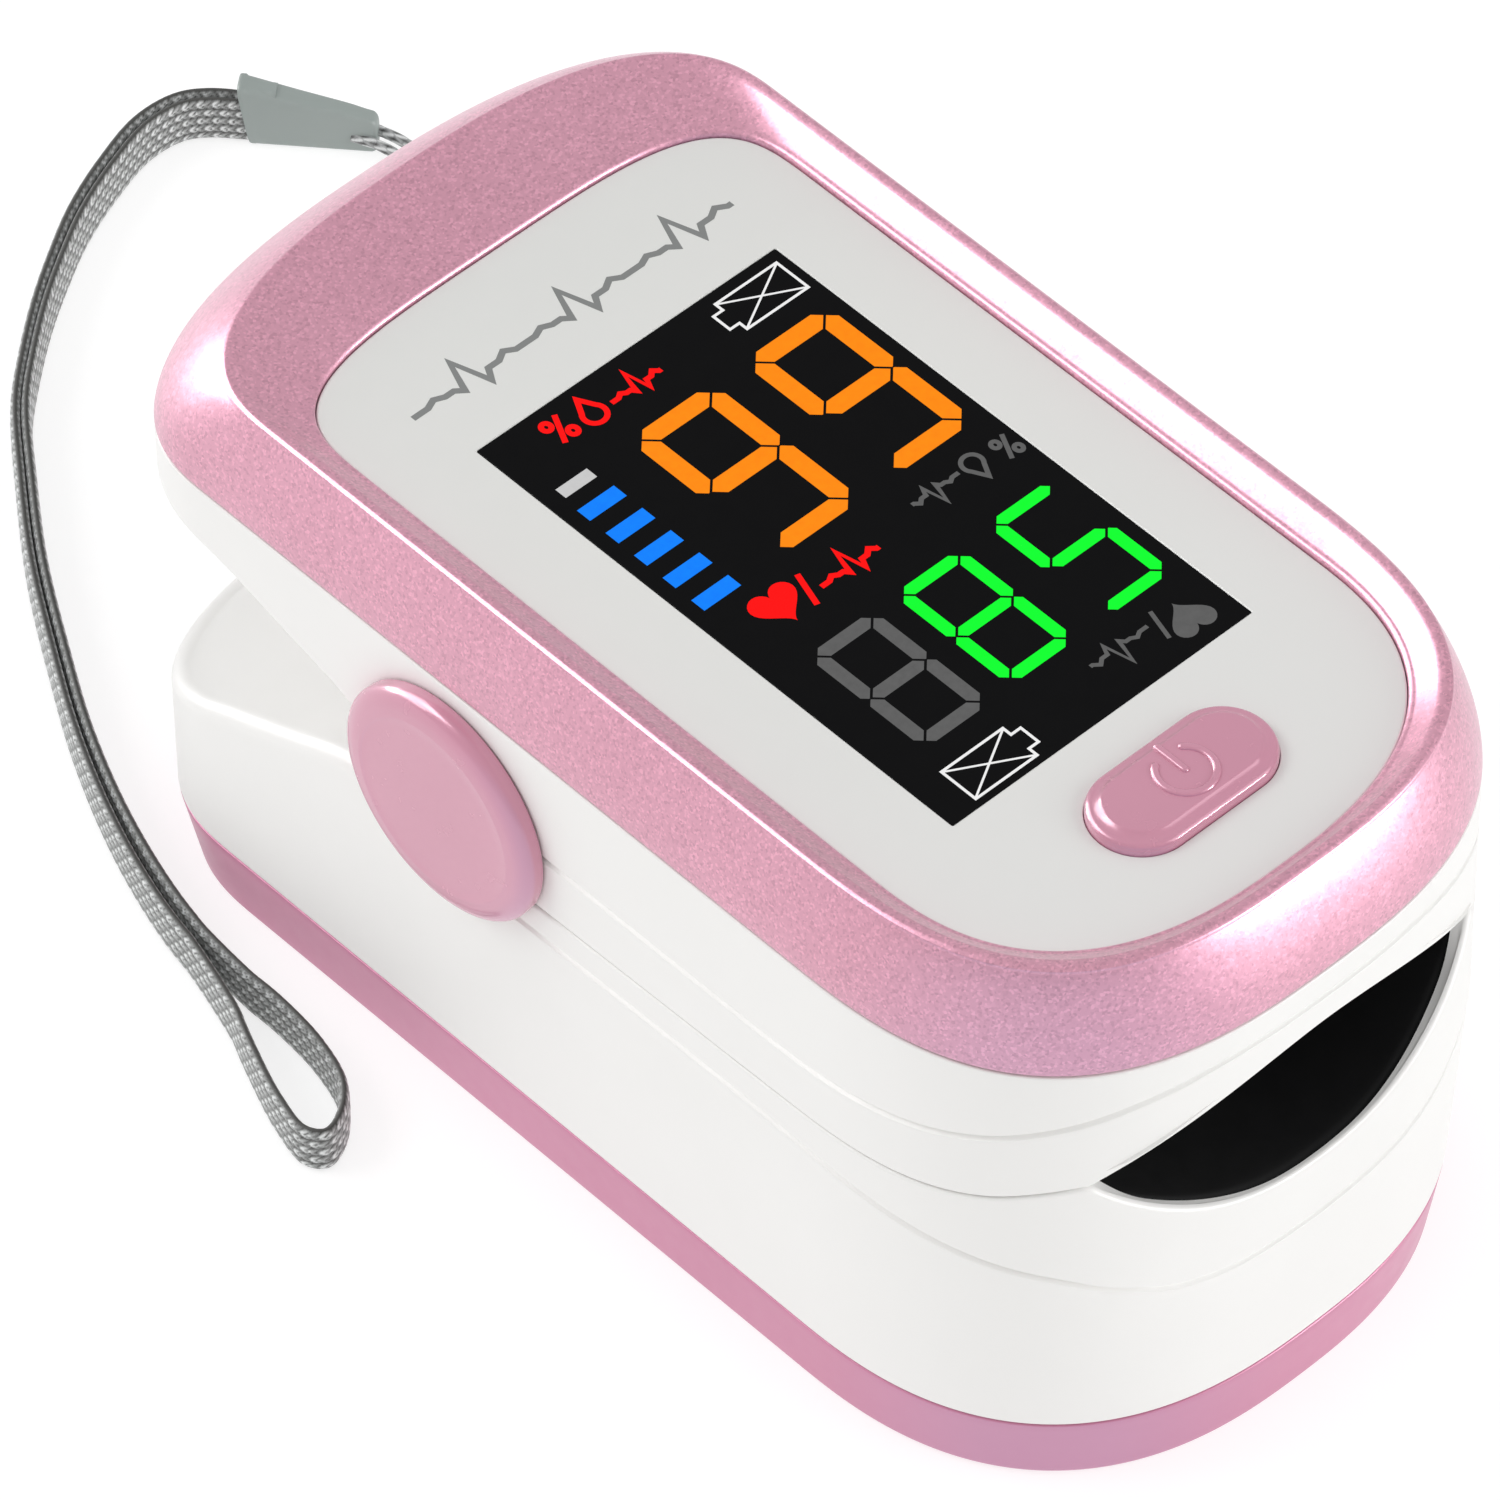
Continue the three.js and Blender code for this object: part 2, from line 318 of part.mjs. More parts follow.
// ---------------------------------------------------------------- pivot
for (const [side, sx] of [['left', -1], ['right', 1]]) {
  // stepped pin from the cap through the upper side wall into the ear
  const pin = v2([[0, 0], [1.2, 0], [1.2, 3.0], [0.9, 3.3], [0, 3.3]]);
  const g = new THREE.LatheGeometry(pin, 16).rotateZ(sx > 0 ? Math.PI / 2 : -Math.PI / 2).translate(sx * 15.8, HINGE_Y, HINGE_Z);
  add(lowerJaw, 'hinge_pin_' + side, g, STEEL, 0.3, 0.9);
  // domed oval cap over the pivot
  const cap = v2([[0, 0], [CAP_R - 0.15, 0], [CAP_R, 0.25], [CAP_R - 0.25, 0.7], [CAP_R - 0.9, CAP_T - 0.08], [CAP_R - 1.6, CAP_T], [0, CAP_T]]);
  const c = new THREE.LatheGeometry(cap, 36).rotateZ(sx > 0 ? -Math.PI / 2 : Math.PI / 2).translate(sx * CAP_X0, HINGE_Y, HINGE_Z);
  add(lowerJaw, 'pivot_cap_' + side, c, PINK, 0.15, 0.1);
  // torsion spring around the axis, with one leg to each jaw
  class Coil extends THREE.Curve {
    getPoint(t, o = new THREE.Vector3()) {
      const turns = 3, R = 2.3, a0 = -Math.PI / 2;
      const x = sx * (10.35 + 1.95 * Math.min(Math.max((t - 0.12) / 0.76, 0), 1));
      if (t < 0.12) { const u = (0.12 - t) / 0.12; return o.set(x, HINGE_Y - 4.0 * u, HINGE_Z - R); }
      if (t > 0.88) { const u = (t - 0.88) / 0.12; return o.set(x, HINGE_Y - 4.0 * u, HINGE_Z + R); }
      const a = a0 + ((t - 0.12) / 0.76) * (turns + 0.5) * 2 * Math.PI;
      return o.set(x, HINGE_Y + R * Math.cos(a), HINGE_Z + R * Math.sin(a));
    }
  }
  const sec = Array.from({ length: 6 }, (_, i) => [0.25 * Math.cos(i * Math.PI / 3), 0.25 * Math.sin(i * Math.PI / 3)]);
  add(lowerJaw, 'torsion_spring_' + side, new THREE.ExtrudeGeometry(new THREE.Shape(v2(sec)), { extrudePath: new Coil(), steps: 64, bevelEnabled: false }), STEEL, 0.3, 0.9);
}

// ---------------------------------------------------------------- lanyard
add(lanyard, 'lanyard_pin', cylZ(LANYARD.r, 4.75, 9.35, LANYARD.x, LANYARD.y, 14), STEEL, 0.3, 0.9);
{
  // two strands of one cord: from the sleeve, round the pin and back
  const mid = [[20.85, 50.85, 1.0], [21.2, 48.9, 0.7], [21.1, 45.5, 0.4], [20.6, 41.8, 0.3], [19.8, 38.3, 0.3], [18.9, 35.0, 0.3],
    [17.8, 32.3, 0.45], [16.7, 30.6, 1.7], [15.6, 29.3, 4.2], [14.6, 28.3, 6.3], [13.4, 27.2, 7.0]];
  const side = (d) => mid.map(([x, y, z], i) => {
    const a = mid[Math.max(i - 1, 0)], b = mid[Math.min(i + 1, mid.length - 1)];
    const l = Math.hypot(b[0] - a[0], b[1] - a[1]);
    const w = d * (i >= mid.length - 2 ? (i === mid.length - 1 ? 2.3 : 1.5) : 1);
    return new THREE.Vector3(x + w * (b[1] - a[1]) / l, y - w * (b[0] - a[0]) / l, z);
  });
  const R = 0.98, turn = Array.from({ length: 5 }, (_, i) => {
    const t = Math.PI * i / 4, u = -R * Math.sin(t), w = -R * Math.cos(t);
    return new THREE.Vector3(LANYARD.x + u * LANYARD.dx + w * LANYARD.dy, LANYARD.y + u * LANYARD.dy - w * LANYARD.dx, 7.0);
  });
  const path = new THREE.CatmullRomCurve3([...side(0.42), ...turn, ...side(-0.42).reverse()], false, 'centripetal');
  const sec = Array.from({ length: 8 }, (_, i) => [0.26 * Math.cos(i * Math.PI / 4), 0.26 * Math.sin(i * Math.PI / 4)]);
  add(lanyard, 'lanyard_string', new THREE.ExtrudeGeometry(new THREE.Shape(v2(sec)), { extrudePath: path, steps: 78, bevelEnabled: false }), GREY, 0.7);
}
{
  // tapered clamp sleeve standing on its narrow side
  const nose = [20.65, 51.5], mouth = [16.85, 56.1];
  const L = Math.hypot(mouth[0] - nose[0], mouth[1] - nose[1]);
  const g = prismX([[0, 0], [L, 0], [L, 4.2], [L * 0.2, 2.75], [0, 2.2]], -0.5, 0.5);
  const pos = g.attributes.position;
  for (let i = 0; i < pos.count; i++) pos.setX(i, pos.getX(i) * 2 * (0.8 + 0.35 * pos.getY(i) / L));
  g.rotateZ(Math.atan2(mouth[1] - nose[1], mouth[0] - nose[0]) - Math.PI / 2).translate(nose[0], nose[1], 0);
  add(lanyard, 'lanyard_sleeve', g, GREY, 0.5);
}
{
  // flat woven band, folded double and standing on its edge, ending in an open eye
  const mid = [[16.6, 56.4], [15.6, 57.55], [14.4, 58.3], [12.3, 58.45], [9.4, 57.6], [6.4, 56.3], [3.9, 54.8], [1.4, 53.1], [-1.1, 51.1],
    [-3.5, 48.9], [-6.1, 45.6], [-9.2, 41.3], [-12.1, 36.5], [-14.6, 32.0], [-16.8, 27.0], [-18.3, 22.3], [-19.05, 18.6]];
  const T = 0.5;
  const c = new THREE.CatmullRomCurve3(mid.map(([x, y]) => new THREE.Vector3(x, y, 0)), false, 'centripetal').getPoints(44);
  const off = (pts, d) => pts.map((p, i) => {
    const a = pts[Math.max(i - 1, 0)], b = pts[Math.min(i + 1, pts.length - 1)], l = Math.hypot(b.x - a.x, b.y - a.y);
    return [p.x + d * (b.y - a.y) / l, p.y - d * (b.x - a.x) / l];
  });
  const eye = [[-18.75, 17.0], [-18.75, 14.2], [-19.1, 11.3], [-19.9, 9.0], [-21.2, 7.75], [-22.3, 7.45], [-22.85, 8.2], [-22.5, 10.2], [-21.4, 13.2], [-20.0, 16.4]];
  const e = new THREE.CatmullRomCurve3(eye.map(([x, y]) => new THREE.Vector3(x, y, 0)), false, 'centripetal').getPoints(26);
  const right = off(c, -T), left = off(c, T);
  const eo = off(e, -0.3), ei = off(e, 0.3);
  // outer boundary: one face of the band, round the eye, back along the other
  const shape = new THREE.Shape(v2([...left, ...eo.slice().reverse(), ...right.slice().reverse()]));
  shape.holes.push(new THREE.Path(v2(ei)));
  add(lanyard, 'wrist_strap', new THREE.ExtrudeGeometry(shape, { depth: 2.6, steps: 1, bevelEnabled: false }), GREY, 0.8);
}

export default object;
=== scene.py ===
# Fingertip pulse oximeter: the looks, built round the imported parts.
# Numbers called mm are millimetres in the part's own frame; meshes are written in metres.
import bpy
import math
import numpy as np
from mathutils import Vector, Matrix


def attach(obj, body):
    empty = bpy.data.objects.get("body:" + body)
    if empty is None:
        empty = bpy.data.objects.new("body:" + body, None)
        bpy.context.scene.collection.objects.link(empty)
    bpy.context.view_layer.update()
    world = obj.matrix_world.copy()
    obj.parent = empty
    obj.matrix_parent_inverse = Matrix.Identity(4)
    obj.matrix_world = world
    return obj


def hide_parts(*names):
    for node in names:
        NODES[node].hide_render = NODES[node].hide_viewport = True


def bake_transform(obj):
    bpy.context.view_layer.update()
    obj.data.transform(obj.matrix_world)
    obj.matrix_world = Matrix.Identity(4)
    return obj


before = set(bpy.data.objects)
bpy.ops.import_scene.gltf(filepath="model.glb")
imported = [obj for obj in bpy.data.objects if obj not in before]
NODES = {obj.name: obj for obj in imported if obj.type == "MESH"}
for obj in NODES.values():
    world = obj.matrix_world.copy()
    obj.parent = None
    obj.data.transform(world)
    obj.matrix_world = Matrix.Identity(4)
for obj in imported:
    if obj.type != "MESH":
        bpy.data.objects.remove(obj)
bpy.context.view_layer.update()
MM = 0.001

# ------------------------------------------------------------------ dimensions
RING = dict(a=15.95, yF=30.0, bF=15.2, nF=2.70, yR=30.0, bR=8.5, nR=2.50)
CREST = dict(a=14.60, yF=28.5, bF=15.0, nF=2.90, yR=26.2, bR=7.6, nR=2.60)
PANEL = dict(a=12.80, yF=27.1, bF=10.8, nF=2.53, yR=20.5, bR=6.6, nR=3.90)
MID = dict(a=15.90, yF=30.0, bF=15.1, nF=2.75, yR=29.8, bR=8.7, nR=2.57)
SEAM = dict(a=15.60, yF=30.0, bF=15.0, nF=2.50, yR=29.75, bR=8.7, nR=2.70)
BASE = dict(a=15.15, yF=29.5, bF=15.0, nF=2.50, yR=29.1, bR=8.9, nR=2.60)
Z_SEAM, Z_MID, Z_RING, Z_CREST, Z_PANEL = 4.0, 14.0, 27.1, 32.2, 31.16
HINGE_Y, HINGE_Z = 5.9, 20.5
OPEN_HALF, OPEN_Z, OPEN_TOP, OPEN_BOT = 11.2, 20.1, 23.9, 15.1
PAD_T, CAVITY_END = 1.0, 9.4
SCREEN = dict(x0=-8.4, x1=8.8, y0=-16.4, y1=12.35)
BUTTON = dict(x=0.0, y=-21.2, s=2.35, r=2.34, top=32.0)
DOOR_X, DOOR_Y0 = 11.4, -22.5
CAP_R, CAP_X0, CAP_T = 5.8, 16.1, 1.1
POST = dict(x=11.9, y=25.4, r=0.6, dx=0.62, dy=0.785)
PART = [[-33, 20.3], [-28.0, 20.15], [-26.5, 19.75], [-24.5, 19.1], [-22.0, 18.65], [-18, 18.3], [-13.6, 18.1], [-7, 17.9], [0, 17.7], [5.9, 17.6]]
UPPER_TAIL = [[8.6, 18.7], [10.6, 19.9], [13.1, 21.15], [16, 22.0], [20.3, 23.2], [25, 24.0], [28, 24.6], [33, 25.4]]
LOWER_TAIL = [[10, 17.4], [13.2, 17.0], [17, 15.3], [21, 13.5], [25.5, 11.45], [28.5, 10.2], [33, 8.6]]
PARTING = 0.06           # half of the line between the jaws


# ------------------------------------------------------------------ camera
def make_camera():
    az, el, dist, tr, tu, lens = math.radians(-43.31), math.radians(48.26), 549.7, -3.13, 10.62, 302.75
    back = Vector((math.sin(az) * math.cos(el), -math.cos(az) * math.cos(el), math.sin(el)))
    right = Vector((math.cos(az), math.sin(az), 0))
    up = back.cross(right)
    cam = bpy.data.objects.new("camera", bpy.data.cameras.new("camera"))
    bpy.context.scene.collection.objects.link(cam)
    cam.data.sensor_width, cam.data.sensor_fit, cam.data.lens = 36.0, "AUTO", lens
    cam.data.clip_start, cam.data.clip_end = 0.05, 20
    place = (back * dist + right * tr + up * tu) * MM
    m = Matrix((right, up, back)).transposed().to_4x4()
    m.translation = place
    cam.matrix_world = m
    bpy.context.scene.camera = cam


make_camera()


# ------------------------------------------------------------------ mesh helpers
class Sheet:
    """Collects grids and faces in mm, and welds what touches."""

    def __init__(self):
        self.v, self.f = [], []

    def add(self, pts, faces):
        base = sum(len(x) for x in self.v)
        self.v.append(np.asarray(pts, float).reshape(-1, 3))
        self.f += [tuple(base + i for i in f) for f in faces]
        return base

    def grid(self, p, close_u=False, close_v=False, flip=False):
        """p[i][j] points; faces between rows i and columns j."""
        p = np.asarray(p, float)
        n, m = p.shape[:2]
        faces = []
        for i in range(n if close_u else n - 1):
            a = i * m
            b = ((i + 1) % n) * m
            for j in range(m if close_v else m - 1):
                k = (j + 1) % m
                q = (a + j, b + j, b + k, a + k)
                faces.append(q[::-1] if flip else q)
        return self.add(p, faces)

    def object(self, name, weld=1e-4, smooth=True, angle=32.0, outer=False, recalc=True):
        v = np.concatenate(self.v)
        me = bpy.data.meshes.new(name)
        me.from_pydata((v * MM).tolist(), [], self.f)
        o = bpy.data.objects.new(name, me)
        bpy.context.scene.collection.objects.link(o)
        import bmesh
        bm = bmesh.new()
        bm.from_mesh(me)
        if weld:
            bmesh.ops.remove_doubles(bm, verts=bm.verts, dist=weld * MM * 10)
        bad = [f for f in bm.faces if f.calc_area() < 1e-13]
        if bad:
            bmesh.ops.dissolve_degenerate(bm, edges=bm.edges, dist=2e-7)
        if recalc:
            bmesh.ops.recalc_face_normals(bm, faces=bm.faces)
        if outer:
            # an open skin faces away from the body's own axis
            vote = 0.0
            for f in bm.faces:
                c = f.calc_center_median()
                if abs(f.normal.z) < 0.3 and max(abs(c.x) / 0.0152, abs(c.y) / 0.0285) > 1.0:
                    vote += f.calc_area() * (f.normal.x * c.x + f.normal.y * c.y * 0.3)
            if vote < 0:
                bmesh.ops.reverse_faces(bm, faces=bm.faces)
        bm.to_mesh(me)
        bm.free()
        if smooth:
            shade(o, angle)
        return o


def shade(o, angle=32.0):
    me = o.data
    me.polygons.foreach_set("use_smooth", [True] * len(me.polygons))
    me.set_sharp_from_angle(angle=math.radians(angle))
    me.update()


def apply_modifiers(o):
    dg = bpy.context.evaluated_depsgraph_get()
    me = bpy.data.meshes.new_from_object(o.evaluated_get(dg), preserve_all_data_layers=True, depsgraph=dg)
    o.modifiers.clear()
    old = o.data
    o.data = me
    bpy.data.meshes.remove(old)
    return o


def solidify(o, thickness, offset=-1.0):
    m = o.modifiers.new("s", "SOLIDIFY")
    m.thickness, m.offset, m.use_even_offset, m.use_quality_normals = thickness * MM, offset, False, True
    return apply_modifiers(o)


def boolean(o, tool, op="DIFFERENCE", keep=False):
    m = o.modifiers.new("b", "BOOLEAN")
    m.object, m.operation, m.solver = tool, op, "EXACT"
    apply_modifiers(o)
    if not keep:
        bpy.data.objects.remove(tool)
    return o


def bevel(o, width, segments=2, angle=35):
    m = o.modifiers.new("v", "BEVEL")
    m.width, m.segments, m.limit_method, m.angle_limit = width * MM, segments, "ANGLE", math.radians(angle)
    m.use_clamp_overlap, m.harden_normals = True, False
    return apply_modifiers(o)


def join(name, *objs):
    import bmesh
    bm = bmesh.new()
    for o in objs:
        bm.from_mesh(o.data)
    me = bpy.data.meshes.new(name)
    bm.to_mesh(me)
    bm.free()
    for m in objs[0].data.materials:
        me.materials.append(m)
    for o in objs:
        bpy.data.objects.remove(o)
    o = bpy.data.objects.new(name, me)
    bpy.context.scene.collection.objects.link(o)
    return o


def box(name, x0, x1, y0, y1, z0, z1):
    s = Sheet()
    p = [(x, y, z) for z in (z0, z1) for y in (y0, y1) for x in (x0, x1)]
    s.add(p, [(0, 2, 3, 1), (4, 5, 7, 6), (0, 1, 5, 4), (2, 6, 7, 3), (0, 4, 6, 2), (1, 3, 7, 5)])
    return s.object(name, smooth=False)


def prism(name, outline, z0, z1, flare=0.0, flare_h=0.05):
    """Closed prism over a counter-clockwise outline; flare widens it over its last flare_h."""
    o = np.asarray(outline, float)
    rings = [(o, z0), (o, z1)]
    if flare:
        n = normals2(o)
        rings = [(o, z0), (o, z1 - flare_h), (o + n * flare, z1), (o + n * flare, z1 + 1.0)]
    s = Sheet()
    k = len(o)
    p = [np.column_stack([r, np.full(k, z)]) for r, z in rings]
    s.grid(np.array(p), close_v=True, flip=True)
    s.add(p[0], [tuple(range(k))[::-1]])
    s.add(p[-1], [tuple(range(k))])
    return s.object(name, smooth=False)


def normals2(o):
    d = np.roll(o, -1, 0) - np.roll(o, 1, 0)
    n = np.column_stack([d[:, 1], -d[:, 0]])
    return n / np.maximum(np.linalg.norm(n, axis=1), 1e-9)[:, None]


def lathe_x(name, profile, x0, y, z, sx, n=96, squash=(1.0, 1.0), tilt=0.0):
    """profile is [(radius, depth)] from the axis outwards and back; depth runs along sx."""
    s = Sheet()
    t = np.linspace(0, 2 * math.pi, n, endpoint=False)
    ct, st = math.cos(tilt), math.sin(tilt)
    rows = []
    for r, d in profile:
        u, v = r * squash[0] * np.cos(t), r * squash[1] * np.sin(t)
        rows.append(np.column_stack([np.full(n, x0 + sx * d), y + u * ct - v * st, z + u * st + v * ct]))
    s.grid(np.array(rows), close_v=True, flip=sx > 0)
    return s.object(name)


def smooth_curve(pts, n=400):
    """Dense Catmull-Rom through control points, as arrays."""
    p = np.asarray(pts, float)
    p = np.vstack([2 * p[0] - p[1], p, 2 * p[-1] - p[-2]])
    out = []
    per = max(2, n // (len(p) - 3))
    for i in range(1, len(p) - 2):
        d = [np.linalg.norm(p[i + k] - p[i + k - 1]) ** 0.5 for k in (0, 1, 2)]
        t0, t1 = 0, d[0]
        t2 = t1 + d[1]
        t3 = t2 + d[2]
        t = np.linspace(t1, t2, per, endpoint=False)[:, None]
        a1 = (t1 - t) / (t1 - t0) * p[i - 1] + (t - t0) / (t1 - t0) * p[i]
        a2 = (t2 - t) / (t2 - t1) * p[i] + (t - t1) / (t2 - t1) * p[i + 1]
        a3 = (t3 - t) / (t3 - t2) * p[i + 1] + (t - t2) / (t3 - t2) * p[i + 2]
        b1 = (t2 - t) / (t2 - t0) * a1 + (t - t0) / (t2 - t0) * a2
        b2 = (t3 - t) / (t3 - t1) * a2 + (t - t1) / (t3 - t1) * a3
        out.append((t2 - t) / (t2 - t1) * b1 + (t - t1) / (t2 - t1) * b2)
    out.append(p[-2][None])
    return np.vstack(out)


def height_of(pts):
    c = smooth_curve(pts)
    return lambda y: np.interp(y, c[:, 0], c[:, 1])


def even(line, step):
    d = np.concatenate([[0], np.cumsum(np.linalg.norm(np.diff(line, axis=0), axis=1))])
    n = max(2, int(round(d[-1] / step)) + 1)
    s = np.linspace(0, d[-1], n)
    return np.column_stack([np.interp(s, d, line[:, k]) for k in range(line.shape[1])])


part_z = height_of(PART + [[8.6, 18.0], [11, 18.3]])
upper_tail = height_of([[3, 17.55], [5.9, 17.7]] + UPPER_TAIL)
lower_tail = height_of([[3, 17.65], [6.5, 17.6]] + LOWER_TAIL)
open_top = lambda x: OPEN_Z + (OPEN_TOP - OPEN_Z) * np.power(np.maximum(1 - (x / OPEN_HALF) ** 2, 0), 0.9)
open_bot = lambda x: OPEN_Z - (OPEN_Z - OPEN_BOT) * np.power(np.maximum(1 - (x / OPEN_HALF) ** 2, 0), 0.9)
smoothstep = lambda x, a, b: (lambda t: t * t * (3 - 2 * t))(np.clip((np.asarray(x, float) - a) / (b - a), 0, 1))

# ------------------------------------------------------------------ plan columns
NR, NF, NS = 60, 84, 96


def _arc_t(a, b, n_, count):
    t = np.linspace(0, math.pi / 2, 4000)
    x, y = a * np.cos(t) ** (2 / n_), b * np.sin(t) ** (2 / n_)
    x[-1] = 0
    d = np.concatenate([[0], np.cumsum(np.hypot(np.diff(x), np.diff(y)))])
    return np.interp(np.linspace(0, d[-1], count + 1), d, t)


_tr, _tf = _arc_t(15.95, 8.5, 2.5, NR), _arc_t(15.95, 15.2, 2.7, NF)
# counter-clockwise from the start of the right side: side, rear, side, front
KIND, TT, SX = [], [], []
for k in range(NS): KIND.append(1); TT.append(k / NS); SX.append(1)            # right side going rearwards
for k in range(NR): KIND.append(0); TT.append(_tr[k]); SX.append(1)
for k in range(NR, 0, -1): KIND.append(0); TT.append(_tr[k]); SX.append(-1)
for k in range(NS): KIND.append(1); TT.append(1 - k / NS); SX.append(-1)       # left side going forwards
for k in range(NF): KIND.append(2); TT.append(_tf[k]); SX.append(-1)
for k in range(NF, 0, -1): KIND.append(2); TT.append(_tf[k]); SX.append(1)
KIND, TT, SX = np.array(KIND), np.array(TT), np.array(SX, float)
NCOL = len(KIND)
KEYS = ("a", "yF", "bF", "nF", "yR", "bR", "nR")


def inset(p, d):
    return dict(a=p["a"] - d, yF=p["yF"] - d, yR=p["yR"] - d, bF=np.maximum(p["bF"] - d, 1), bR=np.maximum(p["bR"] - d, 1), nF=p["nF"], nR=p["nR"])


def mix(p, q, t):
    return {k: p[k] * (1 - t) + q[k] * t for k in KEYS}


def body_at(z):
    z = np.broadcast_to(np.asarray(z, float), (NCOL,))
    out = {}
    for k in KEYS:
        out[k] = np.interp(z, [0, Z_SEAM, Z_MID, Z_RING], [BASE[k], SEAM[k], MID[k], RING[k]])
    return out


def plan(p, sel=slice(None)):
    """x and y of each column on outline p."""
    g = {k: np.broadcast_to(np.asarray(p[k], float), (NCOL,)) for k in KEYS}
    c, s = np.clip(np.cos(TT), 0, 1), np.clip(np.sin(TT), 0, 1)
    x = np.where(KIND == 0, SX * g["a"] * c ** (2 / g["nR"]), np.where(KIND == 2, SX * g["a"] * c ** (2 / g["nF"]), SX * g["a"]))
    yr, yf = g["yR"] - g["bR"], -g["yF"] + g["bF"]
    y = np.where(KIND == 0, yr + g["bR"] * s ** (2 / g["nR"]), np.where(KIND == 2, yf - g["bF"] * s ** (2 / g["nF"]), yf + (yr - yf) * TT))
    x = np.where(((KIND == 0) | (KIND == 2)) & (np.cos(TT) < 1e-9), 0.0, x)
    return x[sel], y[sel]


def ring(p, z, sel=slice(None)):
    x, y = plan(p)
    z = np.broadcast_to(np.asarray(z, float), (NCOL,))
    return np.column_stack([x, y, z])[sel]


def level(z, d=0.0):
    """Body surface at height z (one or per column), moved in by d."""
    return ring(inset(body_at(z), d), z)


def solve_edge(fn, z0=18.0):
    z = np.full(NCOL, z0)
    for _ in range(12):
        x, y = plan(body_at(z))
        z = 0.5 * z + 0.5 * fn(x, y)
    return z


X0, Y0 = plan(body_at(np.full(NCOL, 20.0)))
FRONT = Y0 < -15


def upper_edge(x, y):
    z = np.where(y > 5.9, upper_tail(y), part_z(y) + PARTING)
    return np.where((y < -15) & (np.abs(x) < OPEN_HALF), open_top(x), z)


def lower_edge(x, y):
    z = np.where(y > 5.9, lower_tail(y), part_z(y) - PARTING)
    return np.where((y < -15) & (np.abs(x) < OPEN_HALF), open_bot(x), z)


ZU, ZL = solve_edge(upper_edge, 20.0), solve_edge(lower_edge, 17.0)


def along_columns(side, front):
    """Heights per column from points on the left half: side [(y, z)], front [(x, z)], mirrored."""
    idx, val = [], []
    left = np.where(SX < 0)[0]
    xs, ys = X0[left], Y0[left]
    for y, z in side:
        k = left[np.argmin(np.abs(ys - y) + (xs > -12) * 50)]
        idx.append(k); val.append(z)
    fr = left[(Y0[left] < -15)]
    for x, z in front:
        k = fr[np.argmin(np.abs(X0[fr] - x))]
        idx.append(k); val.append(z)
    order = np.argsort(idx)
    c = smooth_curve(np.column_stack([np.array(idx, float)[order], np.array(val)[order]]), 600)
    n0 = NS + 2 * NR
    k = np.arange(n0, n0 + NS + NF + 1)
    z = np.interp(k, c[:, 0], c[:, 1])
    full = np.zeros(NCOL)
    full[k % NCOL] = z
    # mirror: column j on the left matches the right column with the same kind and parameter
    for j in k:
        m = (2 * (n0 + NS + NF) - j) % NCOL
        full[m] = full[j % NCOL]
    rear = (KIND == 0)
    full[rear] = val[0]
    return full


GU = along_columns([(21, 21.05), (5.9, 21.05), (-0.8, 21.1), (-8, 21.15), (-15, 21.3), (-20.7, 22.0), (-24.5, 22.85)],
                   [(-11.6, 23.95), (-9.3, 24.75), (-7.8, 25.1), (-6.1, 25.35), (-4.4, 25.48), (0, 25.5)])
GL = along_columns([(21, 15.85), (5.9, 15.85), (1.7, 15.9), (-6, 16.1), (-12.7, 16.15), (-18, 15.9), (-22, 15.4), (-24.4, 14.9)],
                   [(-11.9, 14.1), (-10.4, 13.3), (-9.2, 12.75), (-7.9, 12.25), (-5, 11.65), (0, 11.4)])
FADE = 1 - smoothstep(Y0, 3.0, 6.0)          # grooves end under the pivot caps

# ------------------------------------------------------------------ materials
def lin(r, g, b):
    f = lambda c: c / 12.92 if c <= 0.04045 else ((c + 0.055) / 1.055) ** 2.4
    return (f(r / 255), f(g / 255), f(b / 255), 1.0)


